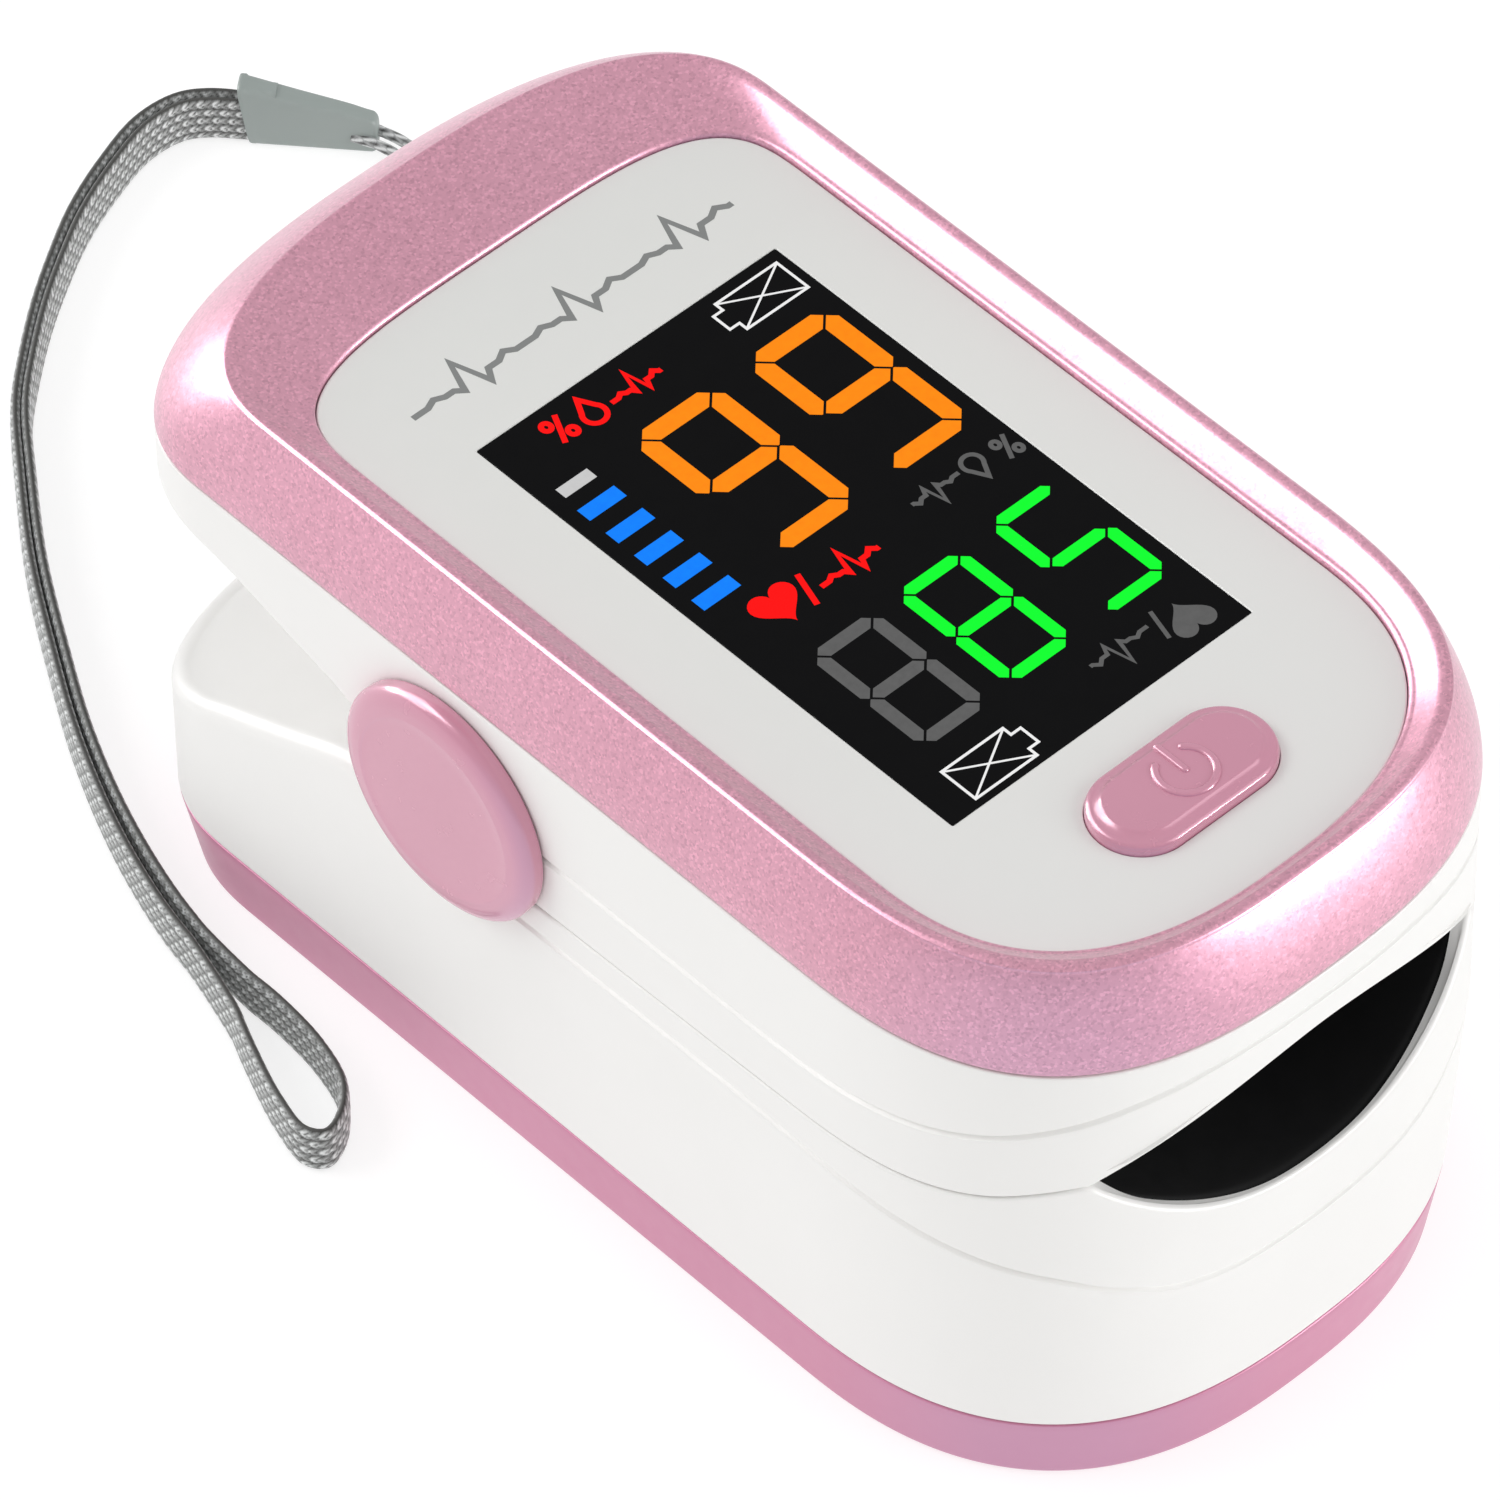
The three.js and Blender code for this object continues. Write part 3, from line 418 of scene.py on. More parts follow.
class Mat:
    """A small node graph on a Principled shader, in object coordinates (metres)."""

    def __init__(self, name, rgb, rough=0.4, metal=0.0, coord="Object"):
        self.m = bpy.data.materials.new(name)
        self.m.use_nodes = True
        self.nt = self.m.node_tree
        self.b = self.nt.nodes["Principled BSDF"]
        self.rgb = lin(*rgb)
        self.b.inputs["Base Color"].default_value = self.rgb
        self.b.inputs["Roughness"].default_value = rough
        self.b.inputs["Metallic"].default_value = metal
        self.tc = self.nt.nodes.new("ShaderNodeTexCoord")
        self.coord = self.tc.outputs[coord]
        self.normal = None
        self.colour = None

    def set(self, **kw):
        for k, v in kw.items():
            self.b.inputs[k.replace("_", " ")].default_value = v
        return self

    def scaled(self, s):
        n = self.nt.nodes.new("ShaderNodeMapping")
        n.inputs["Scale"].default_value = s if hasattr(s, "__len__") else (s, s, s)
        self.nt.links.new(self.coord, n.inputs["Vector"])
        return n.outputs[0]

    def noise(self, scale, detail=3.0, rough=0.5, coord=None):
        n = self.nt.nodes.new("ShaderNodeTexNoise")
        n.inputs["Scale"].default_value = scale
        n.inputs["Detail"].default_value = detail
        n.inputs["Roughness"].default_value = rough
        self.nt.links.new(coord or self.coord, n.inputs["Vector"])
        return n.outputs["Fac"]

    def cells(self, scale, coord=None, feature="F1", out="Distance"):
        n = self.nt.nodes.new("ShaderNodeTexVoronoi")
        n.feature = feature
        n.inputs["Scale"].default_value = scale
        self.nt.links.new(coord or self.coord, n.inputs["Vector"])
        return n.outputs[out]

    def ramp(self, fac, stops):
        n = self.nt.nodes.new("ShaderNodeValToRGB")
        e = n.color_ramp.elements
        while len(e) < len(stops):
            e.new(0.5)
        for k, (p, c) in enumerate(stops):
            e[k].position = p
            e[k].color = c if hasattr(c, "__len__") else (c, c, c, 1)
        self.nt.links.new(fac, n.inputs["Fac"])
        return n.outputs["Color"]

    def math(self, op, a, b, clamp=False):
        n = self.nt.nodes.new("ShaderNodeMath")
        n.operation = op
        n.use_clamp = clamp
        for i, x in enumerate((a, b)):
            if isinstance(x, (int, float)):
                n.inputs[i].default_value = x
            else:
                self.nt.links.new(x, n.inputs[i])
        return n.outputs[0]

    def blend(self, fac, a, b, kind="MIX"):
        n = self.nt.nodes.new("ShaderNodeMix")
        n.data_type = "RGBA"
        n.blend_type = kind
        if isinstance(fac, (int, float)):
            n.inputs["Factor"].default_value = fac
        else:
            self.nt.links.new(fac, n.inputs["Factor"])
        for sock, x in (("A", a), ("B", b)):
            i = [s for s in n.inputs if s.name == sock and s.type == "RGBA"][0]
            if hasattr(x, "links"):
                self.nt.links.new(x, i)
            else:
                i.default_value = x
        return [s for s in n.outputs if s.type == "RGBA"][0]

    def tint(self, fac, low, high):
        """Base colour runs between two colours with fac."""
        c = self.ramp(fac, [(0.0, lin(*low)), (1.0, lin(*high))])
        return self.color(c)

    def color(self, c):
        self.colour = c
        self.nt.links.new(c, self.b.inputs["Base Color"])
        return self

    def rough(self, fac, low, high):
        c = self.ramp(fac, [(0.25, (low,) * 3 + (1,)), (0.75, (high,) * 3 + (1,))])
        self.nt.links.new(c, self.b.inputs["Roughness"])
        return self

    def bump(self, height, strength, distance_mm):
        n = self.nt.nodes.new("ShaderNodeBump")
        n.inputs["Strength"].default_value = strength
        n.inputs["Distance"].default_value = distance_mm * MM
        self.nt.links.new(height, n.inputs["Height"])
        if self.normal is not None:
            self.nt.links.new(self.normal, n.inputs["Normal"])
        self.normal = n.outputs["Normal"]
        self.nt.links.new(self.normal, self.b.inputs["Normal"])
        return self

    def wear(self, amount=0.5, pale=(255, 255, 255)):
        """Edges a little paler, from pointiness."""
        g = self.nt.nodes.new("ShaderNodeNewGeometry")
        f = self.ramp(g.outputs["Pointiness"], [(0.505, 0.0), (0.56, 1.0)])
        f = self.math("MULTIPLY", f, amount)
        self.color(self.blend(f, self.colour if self.colour is not None else self.rgb, lin(*pale)))
        return self


def plastic(name, rgb, rough, spread=4, grain=9000, grain_h=0.004, metal=0.0, ior=1.46, rough_var=0.06):
    m = Mat(name, rgb, rough, metal)
    lo = tuple(max(0, c - spread) for c in rgb)
    hi = tuple(min(255, c + spread) for c in rgb)
    m.tint(m.noise(140, 3), lo, hi)
    m.rough(m.noise(900, 4), max(0.02, rough - rough_var), rough + rough_var)
    m.bump(m.noise(grain, 2), 0.25, grain_h)
    m.b.inputs["IOR"].default_value = ior
    return m


M = {}
M["white"] = plastic("white_abs", (243, 242, 240), 0.42, 2, 7000, 0.003)
M["white"].set(Coat_Weight=0.0, Specular_IOR_Level=0.42, Subsurface_Weight=0.0)


def pearl(name, rgb, rough, metal, flake=True, deep=(196, 132, 158), light=(238, 196, 212)):
    """Pearl lacquer: fine mica flakes that tilt the surface and lift its colour, under a clear coat."""
    m = Mat(name, rgb, rough, metal)
    big = m.noise(70, 2)
    base = m.ramp(big, [(0.3, lin(*[max(0, c - 5) for c in rgb])), (0.7, lin(*[min(255, c + 4) for c in rgb]))])
    # painted sheen: faces turned towards the camera side (front-left) are mixed up to 42 % towards lilac, standing in
    # for the pearl's angle-dependent colour as seen from this view
    g = m.nt.nodes.new("ShaderNodeNewGeometry")
    d = m.nt.nodes.new("ShaderNodeVectorMath")
    d.operation = "DOT_PRODUCT"
    m.nt.links.new(g.outputs["True Normal"], d.inputs[0])
    d.inputs[1].default_value = (-0.70, -0.71, 0.0)
    turn = m.ramp(d.outputs["Value"], [(0.72, 0.0), (0.96, 1.0)])
    base = m.blend(m.math("MULTIPLY", turn, 0.42), base, lin(197, 158, 190))
    if flake:
        fl = m.cells(8800, out="Color")
        sep = m.nt.nodes.new("ShaderNodeSeparateColor")
        m.nt.links.new(fl, sep.inputs[0])
        spark = m.ramp(sep.outputs[0], [(0.0, (0.62, 0.62, 0.62, 1)), (0.3, (1, 1, 1, 1)), (0.7, (1, 1, 1, 1)), (1.0, (1.45, 1.45, 1.45, 1))])
        base = m.blend(0.5, base, spark, "MULTIPLY")
        h = sep.outputs[1]
        m.color(base)
        m.rough(m.noise(2500, 3), rough - 0.05, rough + 0.08)
        m.bump(m.noise(8500, 2, 0.7), 0.5, 0.006)
    else:
        m.color(base)
        m.rough(m.noise(1100, 3), rough - 0.04, rough + 0.05)
    return m


M["pearl"] = pearl("pearl_pink_lacquer", (216, 156, 177), 0.34, 0.45)
M["pearl"].set(Coat_Weight=0.35, Coat_Roughness=0.22, Specular_IOR_Level=0.5)
M["pearl"].b.inputs["Sheen Weight"].default_value = 0.12
M["pink"] = pearl("pink_gloss_plastic", (208, 136, 166), 0.34, 0.10, flake=False)
M["pink"].set(Coat_Weight=0.08, Coat_Roughness=0.15, Specular_IOR_Level=0.3)
M["gloss"] = pearl("pink_gloss_button", (212, 148, 170), 0.24, 0.10, flake=False)
M["gloss"].set(Coat_Weight=0.55, Coat_Roughness=0.09, Specular_IOR_Level=0.4)
M["panel"] = plastic("panel_pale_grey", (232, 232, 230), 0.38, 1, 8000, 0.0015)
# painted shade: the panel's colour is multiplied by a ramp along y, 249 at the rear up to 255 at the front, so it
# darkens towards the rear as if less lit there
_s = M["panel"].nt.nodes.new("ShaderNodeSeparateXYZ")
M["panel"].nt.links.new(M["panel"].coord, _s.inputs[0])
_t = M["panel"].math("MULTIPLY", M["panel"].math("SUBTRACT", 0.021, _s.outputs["Y"]), 1 / 0.048)
M["panel"].color(M["panel"].blend(1.0, M["panel"].colour, M["panel"].ramp(_t, [(0.0, lin(249, 250, 249)), (0.35, lin(254, 254, 253)), (1.0, lin(255, 255, 255))]), "MULTIPLY"))
M["glass"] = plastic("display_black_glass", (16, 16, 17), 0.30, 1, 4000, 0.0006)
M["glass"].set(Specular_IOR_Level=0.04)
M["black"] = plastic("black_silicone", (16, 16, 17), 0.62, 3, 6500, 0.008)
M["black"].set(Specular_IOR_Level=0.25)
M["brown"] = plastic("pad_edge_black", (20, 17, 16), 0.55, 3, 6500, 0.006)
M["pvc"] = plastic("sleeve_grey_vinyl", (152, 161, 158), 0.48, 3, 5200, 0.010)
M["print"] = plastic("grey_print", (128, 130, 129), 0.6, 2, 9000, 0.001)


def lamp(name, rgb, strength):
    m = Mat(name, rgb, 0.5)
    c = m.ramp(m.noise(2600, 2), [(0.3, lin(*[max(0, x - 6) for x in rgb])), (0.7, lin(*rgb))])
    m.color(m.blend(0.85, c, (0, 0, 0, 1)))
    m.nt.links.new(c, m.b.inputs["Emission Color"])
    m.set(Emission_Strength=strength, Specular_IOR_Level=0.1)
    return m


M["orange"] = lamp("segment_orange", (255, 140, 0), 0.9)
M["green"] = lamp("segment_green", (0, 255, 48), 0.9)
M["blue"] = lamp("segment_blue", (0, 130, 255), 0.9)
M["red"] = lamp("segment_red", (255, 0, 0), 0.95)
M["unlit"] = lamp("segment_unlit", (100, 100, 100), 0.8)
M["pale"] = lamp("segment_pale", (205, 205, 205), 0.85)
M["whiteline"] = lamp("segment_white", (240, 240, 240), 0.9)


def metal(name, rgb, rough, scratch=(400, 400, 6000)):
    m = Mat(name, rgb, rough, 1.0)
    n = m.noise(1.0, 4, 0.6, m.scaled(scratch))
    m.tint(n, tuple(max(0, c - 14) for c in rgb), tuple(min(255, c + 8) for c in rgb))
    m.rough(n, rough - 0.08, rough + 0.12)
    m.bump(n, 0.25, 0.004)
    return m


M["steel"] = metal("nickel_steel", (196, 197, 200), 0.28)
M["spring"] = metal("spring_steel", (178, 180, 184), 0.24, (3000, 3000, 3000))


def board(name):
    m = Mat(name, (26, 96, 62), 0.38)
    base = m.ramp(m.noise(500, 3), [(0.3, lin(22, 84, 54)), (0.7, lin(32, 108, 70))])
    v = m.nt.nodes.new("ShaderNodeTexBrick")
    v.inputs["Scale"].default_value = 260
    v.inputs["Mortar Size"].default_value = 0.045
    v.inputs["Color1"].default_value = (0, 0, 0, 1)
    v.inputs["Color2"].default_value = (0, 0, 0, 1)
    v.inputs["Mortar"].default_value = (1, 1, 1, 1)
    m.nt.links.new(m.coord, v.inputs["Vector"])
    m.color(m.blend(v.outputs["Fac"], base, lin(52, 132, 84)))
    m.bump(v.outputs["Fac"], 0.4, 0.02)
    m.set(Coat_Weight=0.3, Coat_Roughness=0.15)
    return m


M["board"] = board("solder_mask_green")
M["chip"] = plastic("chip_epoxy", (30, 30, 33), 0.5, 3, 5000, 0.006)
M["ledbody"] = plastic("emitter_epoxy", (236, 229, 214), 0.25, 4, 5000, 0.002)
M["ledbody"].set(Coat_Weight=0.6, Coat_Roughness=0.08)
M["diode"] = plastic("photodiode_window", (42, 30, 46), 0.18, 3, 4000, 0.001)
M["film"] = plastic("polyimide_film", (158, 96, 32), 0.32, 10, 1600, 0.006)


def jacket(name):
    """Printed battery sleeve in plain bands: dark body, copper end."""
    m = Mat(name, (36, 60, 92), 0.3)
    s = m.nt.nodes.new("ShaderNodeSeparateXYZ")
    m.nt.links.new(m.coord, s.inputs[0])
    t = m.math("MULTIPLY", m.math("ADD", s.outputs["Y"], 0.025), 1 / 0.0445)
    bands = m.ramp(t, [(0.0, lin(188, 190, 192)), (0.03, lin(188, 120, 60)), (0.27, lin(32, 56, 88)), (0.94, lin(188, 190, 192))])
    for e in bands.node.color_ramp.elements:
        pass
    bands.node.color_ramp.interpolation = "CONSTANT"
    n = m.noise(1800, 3)
    m.color(m.blend(m.math("MULTIPLY", n, 0.12), bands, (1, 1, 1, 1)))
    m.set(Metallic=0.45, Coat_Weight=0.5, Coat_Roughness=0.12)
    m.bump(n, 0.2, 0.004)
    return m


M["jacket"] = jacket("battery_jacket")


def dress(o, key):
    o.data.materials.clear()
    o.data.materials.append(M[key].m)
    return o


def yarn(name, dark, mid, light, rough=0.62):
    """Knitted polyester: stitch height is stored on the mesh as "stitch", fibres come from fine noise; the colour runs
    from dark in the low gaps between loops (painted shade) to light on the loop tops (painted highlight).
    """
    m = Mat(name, mid, rough)
    a = m.nt.nodes.new("ShaderNodeAttribute")
    a.attribute_name = "stitch"
    f = a.outputs["Fac"]
    fib = m.noise(9000, 3, 0.7)
    f2 = m.math("ADD", f, m.math("MULTIPLY", m.math("SUBTRACT", fib, 0.5), 0.5), clamp=True)
    # painted shade and highlight: low stitch heights take the dark colour, high ones the light colour
    m.color(m.ramp(f2, [(0.05, lin(*dark)), (0.45, lin(*mid)), (0.9, lin(*light))]))
    m.bump(fib, 0.5, 0.03)
    m.set(Specular_IOR_Level=0.55)
    m.b.inputs["Sheen Weight"].default_value = 0.35
    m.b.inputs["Sheen Roughness"].default_value = 0.4
    return m


M["strap"] = yarn("braid_silver_grey", (50, 50, 47), (146, 148, 147), (230, 232, 232))
M["string"] = yarn("cord_silver_grey", (52, 52, 50), (146, 148, 148), (220, 222, 222))


def set_stitch(o, values):
    at = o.data.attributes.new("stitch", "FLOAT", "POINT")
    at.data.foreach_set("value", np.asarray(values, np.float32))


# ------------------------------------------------------------------ cords first
def frames(line):
    t = np.gradient(line, axis=0)
    t /= np.linalg.norm(t, axis=1)[:, None]
    n = np.cross(t[0], [0, 0, 1.0])
    n /= np.linalg.norm(n)
    ns = [n]
    for k in range(1, len(line)):
        n = ns[-1] - t[k] * (ns[-1] @ t[k])
        ns.append(n / np.linalg.norm(n))
    ns = np.array(ns)
    return t, ns, np.cross(t, ns)


STRING_MID = [[19.95, 52.35, 0.96], [20.4, 51.5, 0.9], [20.75, 50.5, 0.8], [21.08, 48.6, 0.55], [21.1, 45.5, 0.4], [20.6, 41.8, 0.3], [19.8, 38.3, 0.3], [18.9, 35.0, 0.3],
              [17.8, 32.3, 0.45], [16.7, 30.6, 1.7], [15.6, 29.3, 4.2], [14.6, 28.3, 6.3], [13.4, 27.2, 7.0]]


def string_path():
    mid = np.array(STRING_MID)

    def side(d):
        out = []
        for i in range(len(mid)):
            a, b = mid[max(i - 1, 0)], mid[min(i + 1, len(mid) - 1)]
            l = math.hypot(b[0] - a[0], b[1] - a[1])
            w = d * (2.3 if i == len(mid) - 1 else 1.5 if i == len(mid) - 2 else 1)
            out.append([mid[i][0] + w * (b[1] - a[1]) / l, mid[i][1] - w * (b[0] - a[0]) / l, mid[i][2]])
        return out

    turn = []
    for i in range(5):
        t = math.pi * i / 4
        u, w = -0.98 * math.sin(t), -0.98 * math.cos(t)
        turn.append([POST["x"] + u * POST["dx"] + w * POST["dy"], POST["y"] + u * POST["dy"] - w * POST["dx"], 7.0])
    return even(smooth_curve(side(0.42) + turn + side(-0.42)[::-1], 900), 0.09)


def make_string():
    line = string_path()
    t, n, b = frames(line)
    m = 26
    th = np.linspace(0, 2 * math.pi, m, endpoint=False)
    s = np.arange(len(line)) * 0.09
    r0 = 0.262
    # eight strands braided both ways: ridges cross at the braid angle
    a1 = np.cos(4 * th[None, :] + s[:, None] * 5.2)
    a2 = np.cos(4 * th[None, :] - s[:, None] * 5.2)
    h = np.maximum(a1, a2)
    over = 0.5 + 0.5 * h
    r = r0 * (0.86 + 0.16 * over)
    p = line[:, None, :] + r[..., None] * (np.cos(th)[None, :, None] * n[:, None, :] + np.sin(th)[None, :, None] * b[:, None, :])
    sh = Sheet()
    sh.grid(p, close_v=True)
    k = len(line)
    sh.add(p[0], [tuple(range(m))])
    sh.add(p[-1], [tuple(range(m))[::-1]])
    o = sh.object("lanyard_cord", weld=0, angle=80)
    # stitch heights for the colour: low in the grooves between strands, which then take painted shade; strands of one
    # direction are kept lower than the other
    stitch = np.concatenate([(over * (0.55 + 0.45 * (a1 > a2))).ravel(), np.full(2 * m, 0.5)])
    set_stitch(o, stitch)
    dress(o, "string")
    return o, line


STRAP_MID = [[17.2, 55.68], [16.85, 56.1], [15.6, 57.55], [14.4, 58.3], [12.3, 58.45], [9.4, 57.6], [6.4, 56.3], [3.9, 54.8], [1.4, 53.1], [-1.1, 51.1],
             [-3.5, 48.9], [-6.1, 45.6], [-9.2, 41.3], [-12.1, 36.5], [-14.6, 32.0], [-16.8, 27.0], [-18.3, 22.3], [-19.05, 18.6]]
EYE_MID = [[-18.75, 17.0], [-18.75, 14.2], [-19.1, 11.3], [-19.9, 9.0], [-21.2, 7.75], [-22.3, 7.45], [-22.85, 8.2], [-22.5, 10.2], [-21.4, 13.2], [-20.0, 16.4]]


def band(line, half_t, z0, z1, pitch=0.38, rows=5.0):
    """Closed knitted band standing on edge along a plan line; returns points and stitch heights."""
    t = np.gradient(line, axis=0)
    t /= np.linalg.norm(t, axis=1)[:, None]
    nrm = np.column_stack([t[:, 1], -t[:, 0]])
    s = np.concatenate([[0], np.cumsum(np.linalg.norm(np.diff(line, axis=0), axis=1))])
    nv = 30
    # section: down one face, round the edge, up the other
    sec = []
    for k in range(nv):
        sec.append((1, k / (nv - 1)))
    for k in range(nv):
        sec.append((-1, 1 - k / (nv - 1)))
    P, H = [], []
    for sgn, q in sec:
        col = q * rows
        wale = np.abs((col % 1) - 0.5) * 2                       # 0 at a column's middle, 1 between columns
        slant = np.abs((col % 1) - 0.5)
        ph = (s / pitch + 0.9 * slant * 2 + (0.5 if sgn < 0 else 0)) % 1
        loop = np.sin(np.pi * ph) ** 0.7
        h = loop * (1 - wale ** 3)
        edge = 1 - (2 * abs(q - 0.5)) ** 6
        round_ = math.sqrt(max(0.0, 1 - (2 * abs(q - 0.5)) ** 5))
        off = half_t * (0.35 + 0.65 * round_) + 0.055 * h * edge
        z = z0 + (z1 - z0) * q
        P.append(np.column_stack([line[:, 0] + sgn * off * nrm[:, 0], line[:, 1] + sgn * off * nrm[:, 1], np.full(len(line), z)]))
        # stitch heights for the colour: low between loops, which then take painted shade, high on the loop tops, which
        # take painted highlight; every other loop is kept lower
        H.append(np.clip(h * 1.0 * (0.62 + 0.38 * ((np.floor(s / pitch) + math.floor(col)) % 2)), 0, 1))
    P = np.stack(P, axis=1)
    H = np.stack(H, axis=1)
    return P, H


def make_strap():
    c = smooth_curve(STRAP_MID, 900)
    e = smooth_curve(EYE_MID, 500)
    t = np.gradient(c, axis=0)
    t /= np.linalg.norm(t, axis=1)[:, None]
    nrm = np.column_stack([t[:, 1], -t[:, 0]])
    q = np.linspace(0, 1, len(c))
    # the two layers part a little along their length and meet in the eye
    gap = 0.27 + 0.03 * np.sin(q * 9) + 0.10 * smoothstep(q, 0.80, 1.0) - 0.08 * (1 - smoothstep(q, 0.03, 0.09))
    la = c + nrm * gap[:, None]
    lb = c - nrm * gap[:, None]
    # one band: out along layer b, round the eye, back along layer a
    right_first = (e[0] - c[-1]) @ nrm[-1] > 0
    one = np.vstack([la[:-12] if right_first else lb[:-12], e[6:-6], (lb if right_first else la)[:-12][::-1]])
    one = even(smooth_curve(one[::14], 3600), 0.085)
    P, H = band(one, 0.20, 0.06, 2.58)
    # height up the band, from 0 at the foot to 1 at the top; nothing uses it
    k = np.clip((P[..., 2] - 0.06) / 2.5, 0, 1)
    sh = Sheet()
    sh.grid(P, close_v=True)
    m = P.shape[1]
    sh.add(P[0], [tuple(range(m))])
    sh.add(P[-1], [tuple(range(m))[::-1]])
    o = sh.object("wrist_band", weld=0, angle=70)
    set_stitch(o, np.concatenate([H.ravel(), np.full(2 * m, 0.4)]))
    dress(o, "strap")
    tip = [[-18.85, 17.0], [-19.2, 14.0], [-20.0, 11.2], [-21.2, 9.2], [-22.4, 7.6]]
    plan_line = smooth_curve(np.vstack([c[::40], tip]), 1200)
    return o, np.column_stack([plan_line, np.full(len(plan_line), 1.32)])


def make_sleeve():
    nose, mouth = np.array([20.65, 51.5]), np.array([16.85, 56.1])
    L = float(np.linalg.norm(mouth - nose))
    ax = (mouth - nose) / L
    sd = np.array([ax[1], -ax[0]])
    side_h = height_of([[-0.5, 1.95], [0, 2.02], [0.5, 2.12], [0.2 * L, 2.35], [0.6 * L, 2.95], [L, 3.6], [L + 1, 3.8]])
    m = 64
    th = np.linspace(0, 2 * math.pi, m, endpoint=False)
    rows = []

    def section(u, w, h, z0=0.0, power=5.0):
        c, s = np.cos(th), np.sin(th)
        x = np.sign(c) * np.abs(c) ** (2 / power) * w
        z = np.sign(s) * np.abs(s) ** (2 / power) * h / 2 + z0 + h / 2
        v = u + 0.15 * z * u / L                       # the mouth leans out towards its top
        return np.column_stack([nose[0] + ax[0] * v + sd[0] * x, nose[1] + ax[1] * v + sd[1] * x, z])

    # nose closes round the string, body tapers to the mouth, rim turns in to a socket
    hh = lambda u: float(side_h(u))
    ww = lambda u: 0.48 + 0.26 * u / L
    rows.append(section(0.0, 0.24, 1.2, 0.36, 2.6))
    for k in range(9):
        a = k / 8 * math.pi / 2
        u = 0.30 * (1 - math.cos(a))
        f = math.sin(a)
        rows.append(section(u, 0.28 + (ww(u) - 0.28) * f, 1.36 + (hh(u) - 1.36) * f, 0.30 * (1 - f), 3.0 + 2.0 * f))
    for u in np.linspace(0.6, L - 0.35, 26):
        rows.append(section(u, ww(u), hh(u)))
    rows.append(section(L - 0.28, ww(L) + 0.015, hh(L) - 0.0))
    rows.append(section(L - 0.10, ww(L) + 0.02, hh(L)))
    rows.append(section(L - 0.03, ww(L) - 0.01, hh(L) - 0.06, 0.03))
    rows.append(section(L, ww(L) - 0.08, hh(L) - 0.18, 0.09))
    rows.append(section(L, ww(L) - 0.12, hh(L) - 0.30, 0.15))
    rows.append(section(L - 0.05, ww(L) - 0.14, hh(L) - 0.36, 0.18))
    rows.append(section(L - 1.6, ww(L) - 0.20, hh(L) - 0.5, 0.22))
    s = Sheet()
    s.grid(np.array(rows), close_v=True)
    s.add(rows[0], [tuple(range(m))])
    s.add(rows[-1], [tuple(range(m))[::-1]])
    o = s.object("strap_sleeve", angle=50)
    dress(o, "pvc")
    return o


cord_piece, cord_line = make_string()
strap_piece, strap_line = make_strap()
sleeve_piece = make_sleeve()
for o, n in ((cord_piece, "lanyard_string"), (strap_piece, "wrist_strap"), (sleeve_piece, "lanyard_sleeve")):
    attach(o, "lower_jaw")
    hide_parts(n)

# ------------------------------------------------------------------ shells
def fillet(r, n=6, flip=False):
    """Quarter round as (inset, rise) from the flat to the wall."""
    a = np.linspace(0, math.pi / 2, n + 1)
    return [(r * (1 - math.sin(t)), r * (1 - math.cos(t))) for t in a]


def groove_rows(z0, z1, zg, depth, width=0.19, fill_lo=10, fill_hi=14):
    """Rows (z, inset) per column from z0 up to z1 with a round groove at zg."""
    prof = [(-0.42, 0), (-0.33, 0), (-1.3 * width, 0), (-0.95 * width, 0.10), (-0.75 * width, 0.42), (-0.5 * width, 0.78), (-0.22 * width, 0.96), (0, 1.0),
            (0.22 * width, 0.96), (0.5 * width, 0.78), (0.75 * width, 0.42), (0.95 * width, 0.10), (1.3 * width, 0), (0.33, 0), (0.42, 0)]
    rows = []
    for k in range(fill_lo):
        rows.append((z0 + (zg + prof[0][0] - z0) * k / fill_lo, 0 * zg))
        if k == 0:
            rows.append((z0 + 0.35 * (zg + prof[0][0] - z0) / fill_lo, 0 * zg))
    for dz, d in prof:
        rows.append((zg + dz, d * depth))
    for k in range(1, fill_hi + 1):
        rows.append((zg + prof[-1][0] + (z1 - zg - prof[-1][0]) * k / fill_hi, 0 * zg))
    return rows


def surface(z, d):
    return ring(inset(body_at(z), d), z)


def inner_points(zedge, lip, side_x):
    """The edge's own points on the body surface, not moved in."""
    pe = surface(zedge, 0.0)
    return pe


SIDE = (KIND == 1) | ((KIND == 2) & (np.abs(X0) >= OPEN_HALF)) | (KIND == 0)
MOUTH = (KIND == 2) & (np.abs(X0) < OPEN_HALF + 0.15)
LIP = 0.34


def edge_inset(d_side, d_mouth):
    """Edge flat depth per column, easing between mouth and sides."""
    w = smoothstep(np.abs(X0), OPEN_HALF - 0.5, OPEN_HALF + 0.6)
    w = np.where(KIND == 2, w, 1.0)
    return d_mouth * (1 - w) + d_side * w


def mouth_point(zedge, depth):
    """Edge point moved in along the finger's direction at the mouth and across the wall elsewhere."""
    a = surface(zedge, 0.0)
    b = surface(zedge, depth)
    straight = a + np.column_stack([0 * depth, depth, 0 * depth])
    w = np.where(KIND == 2, smoothstep(np.abs(X0), 8.5, OPEN_HALF + 0.3), 1.0)[:, None]
    return straight * (1 - w) + b * w


LIP_R = 0.20 + 0.12 * smoothstep(np.abs(X0), 1.0, 8.0)      # rounding of the lower lip, tightest at the middle of the mouth
LIPD = LIP_R + 0.10 + 0.32 * smoothstep(np.abs(X0), 2.0, 10.0)
EDGE = edge_inset(np.full(NCOL, 0.9), LIPD)


